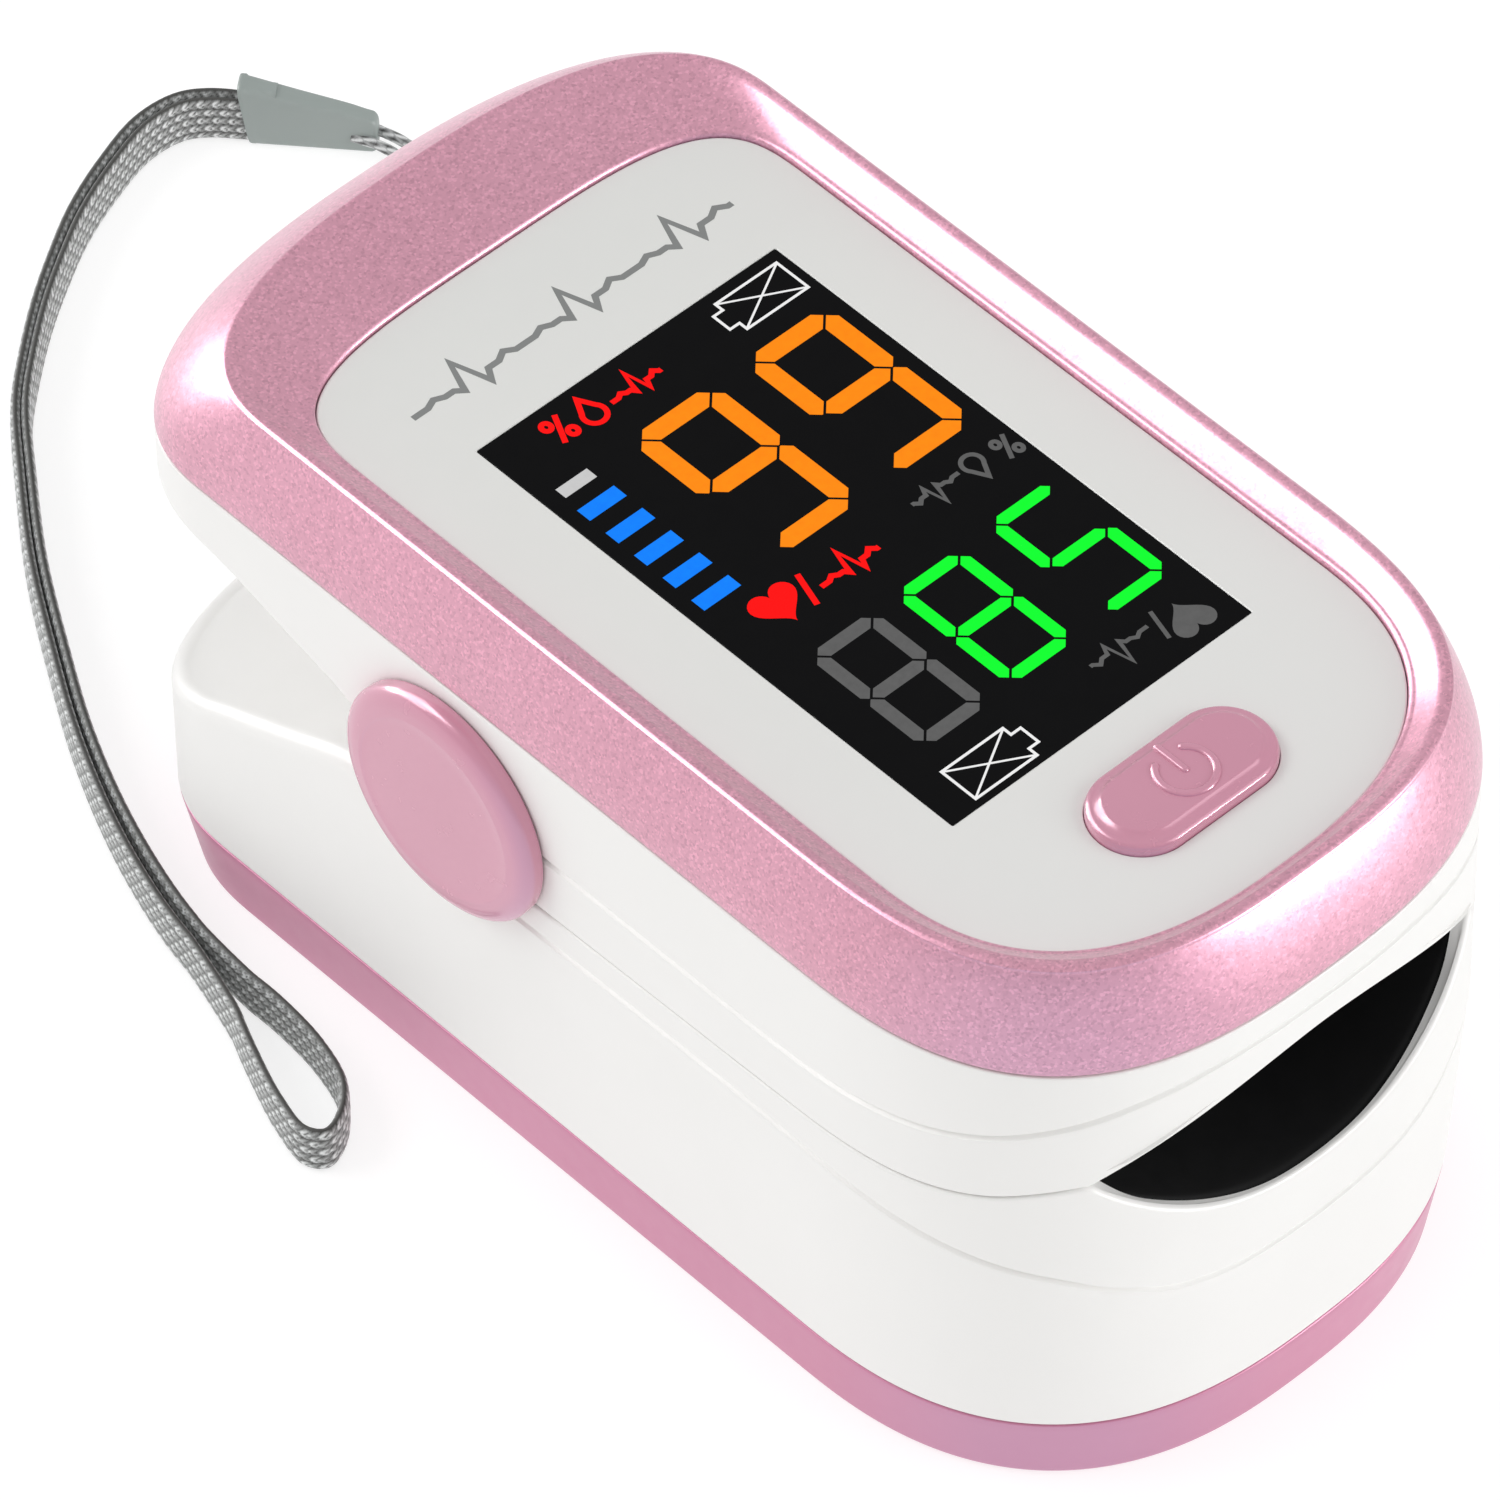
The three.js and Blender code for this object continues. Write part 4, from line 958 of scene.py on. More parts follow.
def shell(name, upper):
    s = Sheet()
    sgn = 1 if upper else -1
    zedge = ZU if upper else ZL
    r = np.where(MOUTH, 0.10, 0.16) if upper else 0.16 + (LIP_R - 0.16) * (1 - np.where(KIND == 2, smoothstep(np.abs(X0), OPEN_HALF - 0.2, OPEN_HALF + 0.9), 1.0))
    r = np.where((Y0 > 8) & ~MOUTH, 0.16 + (0.34 if upper else 0.60) * smoothstep(Y0, 8, 13), r)        # softer along the grips
    rows = []
    flat = mouth_point(zedge, EDGE)
    rows.append(flat)
    for t in (0.35, 0.7):
        e = EDGE * (1 - t) + r * t
        rows.append(mouth_point(zedge, np.maximum(e, r)))
    for k in range(9):
        a = k / 8 * math.pi / 2
        ins, rise = r * (1 - math.sin(a)), r * (1 - math.cos(a))
        z = zedge + sgn * rise
        if k == 0:
            rows.append(mouth_point(zedge, r))
        else:
            rows.append(surface(z, ins))
    z0 = zedge + sgn * r
    if upper:
        zt = np.full(NCOL, Z_RING - 0.16)
        zg = np.maximum(GU, z0 + 0.62)
        zg = np.minimum(zg, zt - 0.62)
        for z, d in groove_rows(z0, zt, zg, 0.23 * FADE)[1:]:
            rows.append(surface(z, d))
        for k in range(1, 6):
            a = k / 5 * math.pi / 2
            rows.append(surface(zt + 0.10 * math.sin(a), 0.10 * (1 - math.cos(a))))
        rows.append(surface(np.full(NCOL, Z_RING - 0.06), 0.55))
        rows.append(surface(np.full(NCOL, Z_RING + 1.2), 0.60))
    else:
        zt = np.full(NCOL, Z_SEAM + 0.14)
        zg = np.minimum(GL, z0 - 0.62)
        up = groove_rows(zt, z0, zg, 0.23 * FADE, fill_lo=22, fill_hi=8)
        for z, d in up[::-1][1:]:
            rows.append(surface(z, d))
        for k in range(1, 6):
            a = k / 5 * math.pi / 2
            rows.append(surface(zt - 0.09 * math.sin(a), 0.09 * (1 - math.cos(a))))
        rows.append(surface(np.full(NCOL, Z_SEAM + 0.05), 0.55))
        rows.append(surface(np.full(NCOL, Z_SEAM - 0.9), 0.95))
    P = np.array(rows)
    s.grid(P, close_v=True, flip=not upper)

    # parting faces beside the finger cavity, from the wall in to the cavity and then along its side
    wall_top = 21.7 if upper else 18.15
    for side in (-1, 1):
        cols = np.where((SX == side) & (flat[:, 1] < 0.4) & (np.abs(flat[:, 0]) > 10.75) & ~((KIND == 2) & (np.abs(X0) < OPEN_HALF)))[0]
        cols = cols[np.argsort(-flat[cols, 1])]
        a = flat[cols]
        tgt = np.column_stack([np.full(len(cols), side * 10.62), np.maximum(a[:, 1] + 0.0, -26.9), a[:, 2]])
        g = [a * (1 - t) + tgt * t for t in np.linspace(0, 1, 8)]
        down = tgt.copy()
        down[:, 2] = np.where(upper, np.maximum(wall_top, a[:, 2] + 0.3), np.minimum(wall_top, a[:, 2] - 0.3))
        g.append(down)
        s.grid(np.array(g), flip=(side > 0) == upper)
    # grip face across the rear, left to right
    nrear = 28
    right = np.where((SX == 1) & (flat[:, 1] > 9.75))[0]
    right = right[np.argsort(flat[right, 1])]
    pairs = []
    for j in right:
        cand = np.where(SX == -1)[0]
        if KIND[j] == 0:
            k = (2 * (NS + NR) - j)
        else:
            k = (2 * (NS + NR) - j)
        pairs.append((j, k % NCOL))
    rowsf = []
    tail = upper_tail if upper else lower_tail
    for j, k in pairs:
        a, b = flat[j], flat[k]
        t = np.linspace(0, 1, nrear)[:, None]
        p = a * (1 - t) + b * t
        # a shallow dish where the thumb presses
        dish = (0.35 if upper else -0.55) * np.sin(np.pi * t[:, 0]) ** 2 * smoothstep(a[1], 12, 18) * (1 - smoothstep(a[1], 25, 28.5))
        p[:, 2] += dish
        rowsf.append(p)
    rowsf.append(np.repeat(flat[NS + NR][None], nrear, 0))
    s.grid(np.array(rowsf), flip=not upper)
    # end of the cavity
    a, b = flat[pairs[0][0]], flat[pairs[0][1]]
    t = np.linspace(0, 1, nrear)[:, None]
    p = a * (1 - t) + b * t
    q = p.copy()
    q[:, 2] += (2.6 if upper else -2.6)
    q2 = p.copy()
    q2[:, 2] += (1.2 if upper else -1.2)
    s.grid(np.array([q, q2, p]), flip=not upper)
    o = s.object(name, weld=8e-4, angle=38, outer=True)
    solidify(o, 0.38)
    shade(o, 38)
    return o


upper_shell = shell("upper_casing", True)
lower_shell = shell("lower_casing", False)
dress(upper_shell, "white")
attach(upper_shell, "upper_jaw"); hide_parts("upper_shell")


def at_post(u, w, z):
    return [POST["x"] + u * POST["dx"] + w * POST["dy"], POST["y"] + u * POST["dy"] - w * POST["dx"], z]


def post_box(name, u0, u1, w, z0, z1):
    o = [at_post(u0, w, 0)[:2], at_post(u1, w, 0)[:2], at_post(u1, -w, 0)[:2], at_post(u0, -w, 0)[:2]]
    a = 0
    for k in range(4):
        a += o[k][0] * o[(k + 1) % 4][1] - o[(k + 1) % 4][0] * o[k][1]
    return prism(name, o if a > 0 else o[::-1], z0, z1)


boolean(lower_shell, post_box("cut", -1.9, 7, 1.85, 5.45, 8.55))
liner = post_box("liner", -2.5, 2.6, 2.5, 4.75, 9.25)
boolean(liner, post_box("cut", -1.9, 7, 1.85, 5.45, 8.55))
lower_shell = join("lower_casing", lower_shell, liner)
shade(lower_shell, 38)
dress(lower_shell, "white")
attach(lower_shell, "lower_jaw"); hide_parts("lower_shell")


# ------------------------------------------------------------------ base and battery door
def base_solid(name, gap=0.0):
    s = Sheet()
    prof = []                     # (z, outline) outside, bottom centre to seam
    R = 0.42
    for k in range(11):
        a = k / 10 * math.pi / 2
        prof.append((R * (1 - math.cos(a)), inset(body_at(np.full(NCOL, R * (1 - math.cos(a)))), R * (1 - math.sin(a)) * 0.95)))
    for z in np.linspace(R + 0.2, Z_SEAM - 0.16, 9):
        prof.append((z, body_at(np.full(NCOL, z))))
    for k in range(1, 5):
        a = k / 4 * math.pi / 2
        z = Z_SEAM - 0.16 + 0.10 * math.sin(a)
        prof.append((z, inset(body_at(np.full(NCOL, z)), 0.10 * (1 - math.cos(a)))))
    prof.append((Z_SEAM - 0.06, inset(body_at(np.full(NCOL, 4.0)), 0.52)))
    prof.append((Z_SEAM - 1.2, inset(body_at(np.full(NCOL, 3.0)), 0.55)))
    prof.append((Z_SEAM - 1.25, inset(body_at(np.full(NCOL, 3.0)), 1.3)))
    prof.append((1.5, inset(body_at(np.full(NCOL, 1.5)), 1.5)))
    rows = [ring(p, z) for z, p in prof]
    s.grid(np.array(rows), close_v=True)
    s.add(rows[0], [tuple(range(NCOL))[::-1]])
    s.add(rows[-1], [tuple(range(NCOL))])
    return s.object(name, weld=0, angle=30)


def cyl_z(name, r, z0, z1, x, y, n=40):
    t = np.linspace(0, 2 * math.pi, n, endpoint=False)
    return prism(name, np.column_stack([x + r * np.cos(t), y + r * np.sin(t)]), z0, z1)


def rounded_rect(x0, x1, y0, y1, r, n=8):
    out = []
    for cx, cy, a0 in ((x1 - r, y1 - r, 0), (x0 + r, y1 - r, 90), (x0 + r, y0 + r, 180), (x1 - r, y0 + r, 270)):
        for k in range(n + 1):
            a = math.radians(a0 + 90 * k / n)
            out.append((cx + r * math.cos(a), cy + r * math.sin(a)))
    return out


SCREWS = [(-12.6, 18.5), (12.6, 18.5), (-12.6, -12.5), (12.6, -12.5)]
base = base_solid("base_casing")
boolean(base, prism("cut", rounded_rect(-DOOR_X, DOOR_X, DOOR_Y0, 40, 1.2), -2, 7))
for x, y in SCREWS:
    boolean(base, cyl_z("cut", 1.25, -1, 0.95, x, y))
    boolean(base, cyl_z("cut", 0.62, -1, 5, x, y))
shade(base, 40)
dress(base, "pink")
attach(base, "lower_jaw"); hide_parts("base_cover")

door = base_solid("battery_hatch")
g = 0.12
boolean(door, prism("keep", rounded_rect(-DOOR_X + g, DOOR_X - g, DOOR_Y0 + g, 40, 1.1), -2, 7), "INTERSECT")
# thumb ribs and an arrow that shows the way it slides
for k in range(5):
    y = 19.2 + 1.5 * k
    boolean(door, prism("cut", rounded_rect(-6.5, 6.5, y, y + 0.7, 0.34), -1, 0.32))
arrow = [(-2.6, 14.2), (2.6, 14.2), (0, 17.3)]
boolean(door, prism("cut", arrow, -1, 0.35))
shade(door, 40)
dress(door, "pink")
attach(door, "door"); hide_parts("battery_door")


# ------------------------------------------------------------------ bezel
def make_bezel():
    rows = []
    # outer face: upright at the bottom, leaning in more and more to the crest
    zb = Z_RING + 0.06
    rows.append(ring(inset(RING, 1.9), zb + 0.02))
    rows.append(ring(inset(RING, 0.5), zb))
    for k in range(5):
        a = k / 4 * math.pi / 2
        rows.append(ring(inset(RING, 0.12 * (1 - math.sin(a))), zb + 0.12 * (1 - math.cos(a))))
    c = smooth_curve([[0.0, 26.6], [0.0, 27.3], [0.07, 28.2], [0.21, 29.15], [0.44, 30.25], [0.70, 31.25], [0.90, 31.88], [1.0, 32.12], [1.05, 32.2]], 300)
    c = even(c[(c[:, 1] > 27.34) & (c[:, 1] < 31.98)] * [6, 1], 0.17) / [6, 1]
    for m, z in c:
        rows.append(ring(mix(RING, CREST, m), z))
    # crest: tight round, then the inner slope
    top = mix(RING, CREST, float(c[-1][0]))
    for d, z in ((-0.075, 32.085), (-0.05, 32.105), (0.06, 32.185), (0.10, 32.198), (0.15, 32.2), (0.22, 32.195), (0.34, 32.165)):
        rows.append(ring(inset(CREST, d), z))
    lip = inset(PANEL, -0.30)
    start, end = inset(CREST, 0.48), lip
    for t in np.linspace(0, 1, 15):
        z = 32.13 * (1 - t) + 31.44 * t - 0.02 * math.sin(math.pi * t)
        rows.append(ring(mix(start, end, t), z))
    R = 0.26
    for k in range(1, 9):
        a = k / 8 * math.radians(84)
        rows.append(ring(inset(PANEL, -0.29 + R * math.sin(a)), 31.435 - R * (1 - math.cos(a))))
    rows.append(ring(inset(PANEL, -0.04), 31.07))
    rows.append(ring(inset(PANEL, -0.03), 30.0))
    rows.append(ring(inset(PANEL, -1.1), 29.7))
    s = Sheet()
    rows = rows[:] + [rows[0]]
    s.grid(np.array(rows), close_v=True)
    o = s.object("bezel_ring", weld=1e-4, angle=60)
    return dress(o, "pearl")


bezel = make_bezel()
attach(bezel, "upper_jaw"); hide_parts("top_bezel")


# ------------------------------------------------------------------ face panel, window, button
def stadium(s, r, n=36, cx=BUTTON["x"], cy=BUTTON["y"], m=14):
    out = []
    for k in range(n + 1):
        t = -math.pi / 2 + math.pi * k / n
        out.append((cx + s + r * math.cos(t), cy + r * math.sin(t)))
    for k in range(1, m):
        out.append((cx + s - 2 * s * k / m, cy + r))
    for k in range(n + 1):
        t = math.pi / 2 + math.pi * k / n
        out.append((cx - s + r * math.cos(t), cy + r * math.sin(t)))
    for k in range(1, m):
        out.append((cx - s + 2 * s * k / m, cy - r))
    return out


def make_panel():
    s = Sheet()
    rows = [ring(PANEL, 29.9)]
    for k in range(5):
        a = k / 4 * math.pi / 2
        rows.append(ring(inset(PANEL, 0.10 * (1 - math.cos(a))), Z_PANEL - 0.10 + 0.10 * math.sin(a)))
    s.grid(np.array(rows), close_v=True)
    s.add(rows[0], [tuple(range(NCOL))[::-1]])
    s.add(rows[-1], [tuple(range(NCOL))])
    o = s.object("front_panel", weld=0, angle=40)
    w = rounded_rect(SCREEN["x0"] - 0.02, SCREEN["x1"] + 0.02, SCREEN["y0"] - 0.02, SCREEN["y1"] + 0.02, 0.08, 3)
    boolean(o, prism("cut", w, 29, Z_PANEL, flare=0.05, flare_h=0.04))
    boolean(o, prism("cut", stadium(BUTTON["s"], BUTTON["r"] + 0.03), 29, Z_PANEL, flare=0.03, flare_h=0.03))
    shade(o, 30)
    return dress(o, "panel")


panel = make_panel()
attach(panel, "upper_jaw"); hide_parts("face_panel")


def slab(name, outline_fn, z0, z1, r, steps=4):
    """Closed slab over outline_fn(inset) with a rounded top edge."""
    rows = [np.column_stack([np.array(outline_fn(0.0)), np.full(len(outline_fn(0.0)), z0)])]
    for k in range(steps + 1):
        a = k / steps * math.pi / 2
        o = np.array(outline_fn(r * (1 - math.cos(a))))
        rows.append(np.column_stack([o, np.full(len(o), z1 - r + r * math.sin(a))]))
    s = Sheet()
    s.grid(np.array(rows), close_v=True)
    n = len(rows[0])
    s.add(rows[0], [tuple(range(n))[::-1]])
    s.add(rows[-1], [tuple(range(n))])
    return s.object(name, weld=0, angle=40)


window = slab("display_glass", lambda d: rounded_rect(SCREEN["x0"] + d, SCREEN["x1"] - d, SCREEN["y0"] + d, SCREEN["y1"] - d, 0.06, 3), 30.1, Z_PANEL - 0.012, 0.03)
dress(window, "glass")
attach(window, "upper_jaw"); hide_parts("display_window")


def make_button():
    rows = []
    S, R, T = BUTTON["s"], BUTTON["r"], BUTTON["top"]

    def st(d, z):
        o = np.array(stadium(S, max(R - d, 0.001)))
        return np.column_stack([o, np.full(len(o), z)])

    rows.append(st(0.9, 29.5))
    rows.append(st(0.0, 29.5))
    rows.append(st(0.0, 31.2))
    rows.append(st(0.0, 31.42))
    for k in range(9):
        a = k / 8 * math.pi / 2
        rows.append(st(0.02 + 0.30 * (1 - math.cos(a)), 31.45 + 0.28 * math.sin(a)))
    for k in range(9):
        t = k / 8
        rows.append(st(0.34 + 0.36 * t, 31.735 + 0.20 * t - 0.03 * math.sin(math.pi * t)))
    rows.append(st(0.76, 31.945))
    for d in (0.86, 1.1, 1.5, 1.9, 2.2, 2.42):
        rows.append(st(d, 31.950 + 0.004 * d))
    s = Sheet()
    s.grid(np.array(rows), close_v=True)
    n = len(rows[0])
    s.add(rows[0], [tuple(range(n))[::-1]])
    s.add(rows[-1], [tuple(range(n))])
    # retaining flange under the panel
    for d, z0, z1 in ((-0.55, 29.15, 29.55),):
        o = np.array(stadium(S, R - d))
        a, b = np.column_stack([o, np.full(n, z0)]), np.column_stack([o, np.full(n, z1)])
        s.grid(np.array([a, b]), close_v=True)
        s.add(a, [tuple(range(n))[::-1]])
        s.add(b, [tuple(range(n))])
    o = s.object("power_key", weld=0, angle=42)
    # the raised power mark, an open ring and a stroke, is joined on after this returns
    return o


def stroke(name, line, r, z, squash=0.6, closed_ends=True):
    """Half-round bead along a plan line."""
    line = np.asarray(line, float)
    t = np.gradient(line, axis=0)
    t /= np.linalg.norm(t, axis=1)[:, None]
    n = np.column_stack([t[:, 1], -t[:, 0]])
    m = 14
    rows = []
    L = len(line)
    for i in range(L):
        e = 1.0
        rows.append([(line[i][0] + n[i][0] * r * math.cos(a) * e, line[i][1] + n[i][1] * r * math.cos(a) * e, z + r * squash * math.sin(a) * e)
                     for a in np.linspace(0, 2 * math.pi, m, endpoint=False)])
    # round ends
    def cap(i, direction):
        out = []
        for k in range(1, 5):
            a = k / 5 * math.pi / 2
            f, u = math.cos(a), r * math.sin(a)
            c = line[i] + direction * t[i] * u
            out.append([(c[0] + n[i][0] * r * f * math.cos(b), c[1] + n[i][1] * r * f * math.cos(b), z + r * f * squash * math.sin(b))
                        for b in np.linspace(0, 2 * math.pi, m, endpoint=False)])
        return out
    rows = cap(0, -1)[::-1] + rows + cap(L - 1, 1)
    s = Sheet()
    s.grid(np.array(rows), close_v=True)
    s.add(rows[0], [tuple(range(m))])
    s.add(rows[-1], [tuple(range(m))[::-1]])
    return s.object(name, weld=0, angle=60)


button = make_button()
cx, cy = BUTTON["x"] + 0.15, BUTTON["y"] - 0.05
arc = [(cx + 1.28 * math.sin(a), cy + 1.28 * math.cos(a)) for a in np.linspace(math.radians(38), math.radians(322), 70)]
bead1 = stroke("b1", arc, 0.185, 31.955, 0.75)
bead2 = stroke("b2", [(cx, cy + 0.05 + 1.62 * k / 20) for k in range(21)], 0.185, 31.955, 0.75)
button = join("power_key", button, bead1, bead2)
shade(button, 42)
dress(button, "gloss")
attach(button, "button"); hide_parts("power_button")


# ------------------------------------------------------------------ pivot caps
for side, sx in (("left", -1), ("right", 1)):
    prof = [(0.0, 0.0), (5.45, 0.0), (5.62, 0.02)]
    prof += [(5.66 + 0.14 * math.sin(a), 0.16 - 0.14 * math.cos(a)) for a in np.linspace(0, math.pi / 2, 5)]
    prof += [(5.80, 0.30), (5.80, 0.42), (5.80, 0.50)]
    prof += [(4.72 + 1.08 * math.cos(a), 0.50 + 0.60 * math.sin(a)) for a in np.linspace(0.06, math.pi / 2 - 0.10, 20)]
    prof += [(4.66, 1.115), (4.60, 1.122), (4.50, 1.118), (4.38, 1.105), (4.0, 1.10), (3.2, 1.10), (2.2, 1.10), (1.1, 1.10), (0.0, 1.10)]
    cap = lathe_x("pivot_cover_" + side, prof, sx * (CAP_X0 - 0.12), HINGE_Y, HINGE_Z, sx, n=144, squash=(1.0, 1.0), tilt=0.0)
    dress(cap, "gloss")
    shade(cap, 40)
    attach(cap, "lower_jaw"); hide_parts("pivot_cap_" + side)


# ------------------------------------------------------------------ finger pads
def make_pad(name, upper):
    s = Sheet()
    fn = open_top if upper else open_bot
    nx, ny = 97, 90
    xi = np.linspace(-1, 1, nx)
    xi = np.sign(xi) * np.abs(xi) ** 0.9
    # where the pad meets the shell's edge at the mouth
    order = np.argsort(X0[MOUTH])
    xm, zm = X0[MOUTH][order], (ZU if upper else ZL)[MOUTH][order]
    ym = surface(ZU if upper else ZL, 0.0)[MOUTH][order][:, 1]
    ys = np.concatenate([np.linspace(0, 0.03, 5), np.linspace(0.05, 1, ny)])
    rows = []
    sgn = 1 if upper else -1
    for j, q in enumerate(ys):
        half = 11.1 + (10.3 - 11.1) * float(smoothstep(q, 0.05, 0.13))
        x = xi * half
        y0 = np.interp(x, xm, ym) + np.interp(x, X0[MOUTH][order], LIPD[MOUTH][order]) - 0.06
        y = y0 + (CAVITY_END - 0.9 - y0) * q
        z = fn(x)
        # front edge rolls up behind the shell's lip
        e = float(np.clip(1 - q / 0.012, 0, 1))
        z = z + sgn * (0.03 + 0.30 * e ** 2)
        if not upper:
            z = np.where(y < 6, np.minimum(z, part_z(y) - 0.10), z)        # stays below the parting line
        rows.append(np.column_stack([x, y, z]))
    # back wall that stops the fingertip
    last = rows[-1]
    edge_z = 20.9 if upper else 17.3
    for t in np.linspace(0.1, 1, 10):
        z = last[:, 2] * (1 - t) + np.where(upper, np.minimum(last[:, 2], edge_z), np.maximum(last[:, 2], edge_z)) * t
        rows.append(np.column_stack([last[:, 0], last[:, 1] + 0.25 * math.sin(t * math.pi / 2), z]))
    s.grid(np.array(rows), flip=not upper)
    o = s.object(name, weld=0, angle=50)
    solidify(o, 0.85)
    for w in ((-1.7, 1.7, -9.6, -6.4, 22, 27) if upper else (-1.8, 1.8, -9.8, -6.2, 10, 18),):
        boolean(o, prism("cut", rounded_rect(w[0], w[1], w[2], w[3], 0.5), w[4], w[5]))
    shade(o, 50)
    return dress(o, "black")


pad_u = make_pad("upper_lining", True)
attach(pad_u, "upper_jaw"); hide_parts("upper_finger_pad")
pad_l = make_pad("lower_lining", False)
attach(pad_l, "lower_jaw"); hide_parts("lower_finger_pad")


# ------------------------------------------------------------------ display marks
Z_MARK = Z_PANEL - 0.012


def flat(name, outlines, z0=Z_MARK - 0.03, z1=Z_MARK + 0.008):
    """Thin closed plates over one or more plan outlines."""
    s = Sheet()
    for o in outlines:
        o = np.asarray(o, float)
        a = 0.5 * np.sum(o[:, 0] * np.roll(o[:, 1], -1) - np.roll(o[:, 0], -1) * o[:, 1])
        if a < 0:
            o = o[::-1]
        k = len(o)
        lo, hi = np.column_stack([o, np.full(k, z0)]), np.column_stack([o, np.full(k, z1)])
        s.grid(np.array([lo, hi]), close_v=True, flip=True)
        s.add(lo, [tuple(range(k))[::-1]])
        s.add(hi, [tuple(range(k))])
    return s.object(name, weld=0, smooth=False)


def ribbon(line, w, closed=False):
    """Plan outlines that draw a line of width w, one quad per stretch with mitred joints."""
    p = np.asarray(line, float)
    n = len(p)
    d = np.roll(p, -1, 0) - p
    if not closed:
        d = d[:-1]
    d = d / np.maximum(np.linalg.norm(d, axis=1), 1e-9)[:, None]
    nn = np.column_stack([-d[:, 1], d[:, 0]])
    L, R = [], []
    for i in range(n):
        if closed:
            a, b = nn[i - 1], nn[i]
        else:
            a, b = nn[max(i - 1, 0)], nn[min(i, len(nn) - 1)]
        m = a + b
        m = m / max(np.linalg.norm(m), 1e-9)
        k = 1 / max(m @ a, 0.45)
        L.append(p[i] + m * k * w / 2)
        R.append(p[i] - m * k * w / 2)
    L, R = np.array(L), np.array(R)
    if closed:
        return [[L[i], L[(i + 1) % n], R[(i + 1) % n], R[i]] for i in range(n)]
    return [list(L) + list(R[::-1])]


def seven(x0, x1, y1, y0, T, lit, c=0.95, gap=0.12, cm=0.42):
    """Seven-segment figure between x0..x1 and y0..y1; lit names the segments a to g."""
    w, h = x1 - x0, y1 - y0
    H, e = h / 2, gap * 0.7071
    out = []

    def horiz(y, sgn):
        q = [(c, 0), (w - c, 0), (w - (c + e) / 2, (c - e) / 2), (w - T - e, T), (T + e, T), ((c + e) / 2, (c - e) / 2)]
        out.append([(x0 + u, y + sgn * v) for u, v in q])

    def vert(x, sgn, y_mid, up):
        q = [(T / 2 + e, T), (e / 2, T / 2 - e / 2), (e / 2, cm - e / 2), (cm, 0), (H - c, 0), (H - (c + e) / 2, (c - e) / 2), (H - T - e, T)]
        out.append([(x + sgn * v, y_mid + up * s) for s, v in q])

    ym = (y0 + y1) / 2
    if "a" in lit: horiz(y1, -1)
    if "d" in lit: horiz(y0, 1)
    if "f" in lit: vert(x0, 1, ym, 1)
    if "e" in lit: vert(x0, 1, ym, -1)
    if "b" in lit: vert(x1, -1, ym, 1)
    if "c" in lit: vert(x1, -1, ym, -1)
    if "g" in lit:
        t = T / 2
        out.append([(x0 + t + e, ym), (x0 + T + e, ym + t), (x1 - T - e, ym + t), (x1 - t - e, ym), (x1 - T - e, ym - t), (x0 + T + e, ym - t)])
    return out


def heart(cx, cy, w, turn=0.0):
    out = []
    for k in range(48):
        t = 2 * math.pi * k / 48
        x = 16 * math.sin(t) ** 3
        y = 13 * math.cos(t) - 5 * math.cos(2 * t) - 2 * math.cos(3 * t) - math.cos(4 * t)
        out.append((x / 32 * w, (y + 2.5) / 32 * w))
    c, s = math.cos(turn), math.sin(turn)
    return [(cx + c * x - s * y, cy + s * x + c * y) for x, y in out]


def circle(cx, cy, r, n=28, sy=1.0):
    return [(cx + r * math.cos(2 * math.pi * k / n), cy + sy * r * math.sin(2 * math.pi * k / n)) for k in range(n)]


def percent(x, y, h, w):
    """Percent sign h tall with its lower left at x, y."""
    a = h * 0.74
    return (ribbon(circle(x + 0.22 * a, y + h - 0.27 * a, 0.19 * a, 20, 1.15), w, True) + ribbon(circle(x + 0.86 * a, y + 0.27 * a, 0.19 * a, 20, 1.15), w, True)
            + ribbon([(x + 0.22 * a, y), (x + 0.88 * a, y + h)], w))


def drop(cx, cy, h, w):
    pts = []
    for k in range(25):
        t = math.radians(-222 + 264 * k / 24)
        pts.append((cx + 0.34 * h * math.cos(t), cy - 0.14 * h + 0.34 * h * math.sin(t)))
    pts.append((cx, cy + 0.56 * h))
    return ribbon(pts, w, True)


def pulse(x0, x1, y, h, w, beats=1):
    """Heart-beat trace between x0 and x1."""
    unit = [(0.0, 0), (0.14, 0), (0.22, 0.16), (0.30, 0), (0.38, 0), (0.44, -0.22), (0.54, 1.0), (0.64, -0.46), (0.70, 0), (0.80, 0), (0.88, 0.22), (0.96, 0), (1.0, 0)]
    pts = []
    for b in range(beats):
        for u, v in unit[(1 if b else 0):]:
            pts.append((x0 + (x1 - x0) * (b + u) / beats, y + v * h))
    return ribbon(pts, w)


def turned(outlines, cx, cy):
    return [[(2 * cx - x, 2 * cy - y) for x, y in o] for o in outlines]


def cell_mark(x0, x1, y0, y1, nub, w=0.13):
    """Battery outline with a crossed body; nub is the side its terminal is on."""
    ym, hb = (y0 + y1) / 2, (y1 - y0) * 0.26
    nx = x1 if nub > 0 else x0
    tip = nx + nub * 0.55
    body = [(x0, y0), (x1, y0)]
    if nub > 0:
        line = [(x0, y0), (x1, y0), (x1, ym - hb), (tip, ym - hb), (tip, ym + hb), (x1, ym + hb), (x1, y1), (x0, y1)]
    else:
        line = [(x0, y0), (x1, y0), (x1, y1), (x0, y1), (x0, ym + hb), (tip, ym + hb), (tip, ym - hb), (x0, ym - hb)]
    return ribbon(line, w, True) + ribbon([(x0 + 0.05, y0 + 0.05), (x1 - 0.05, y1 - 0.05)], w * 0.75) + ribbon([(x0 + 0.05, y1 - 0.05), (x1 - 0.05, y0 + 0.05)], w * 0.75)


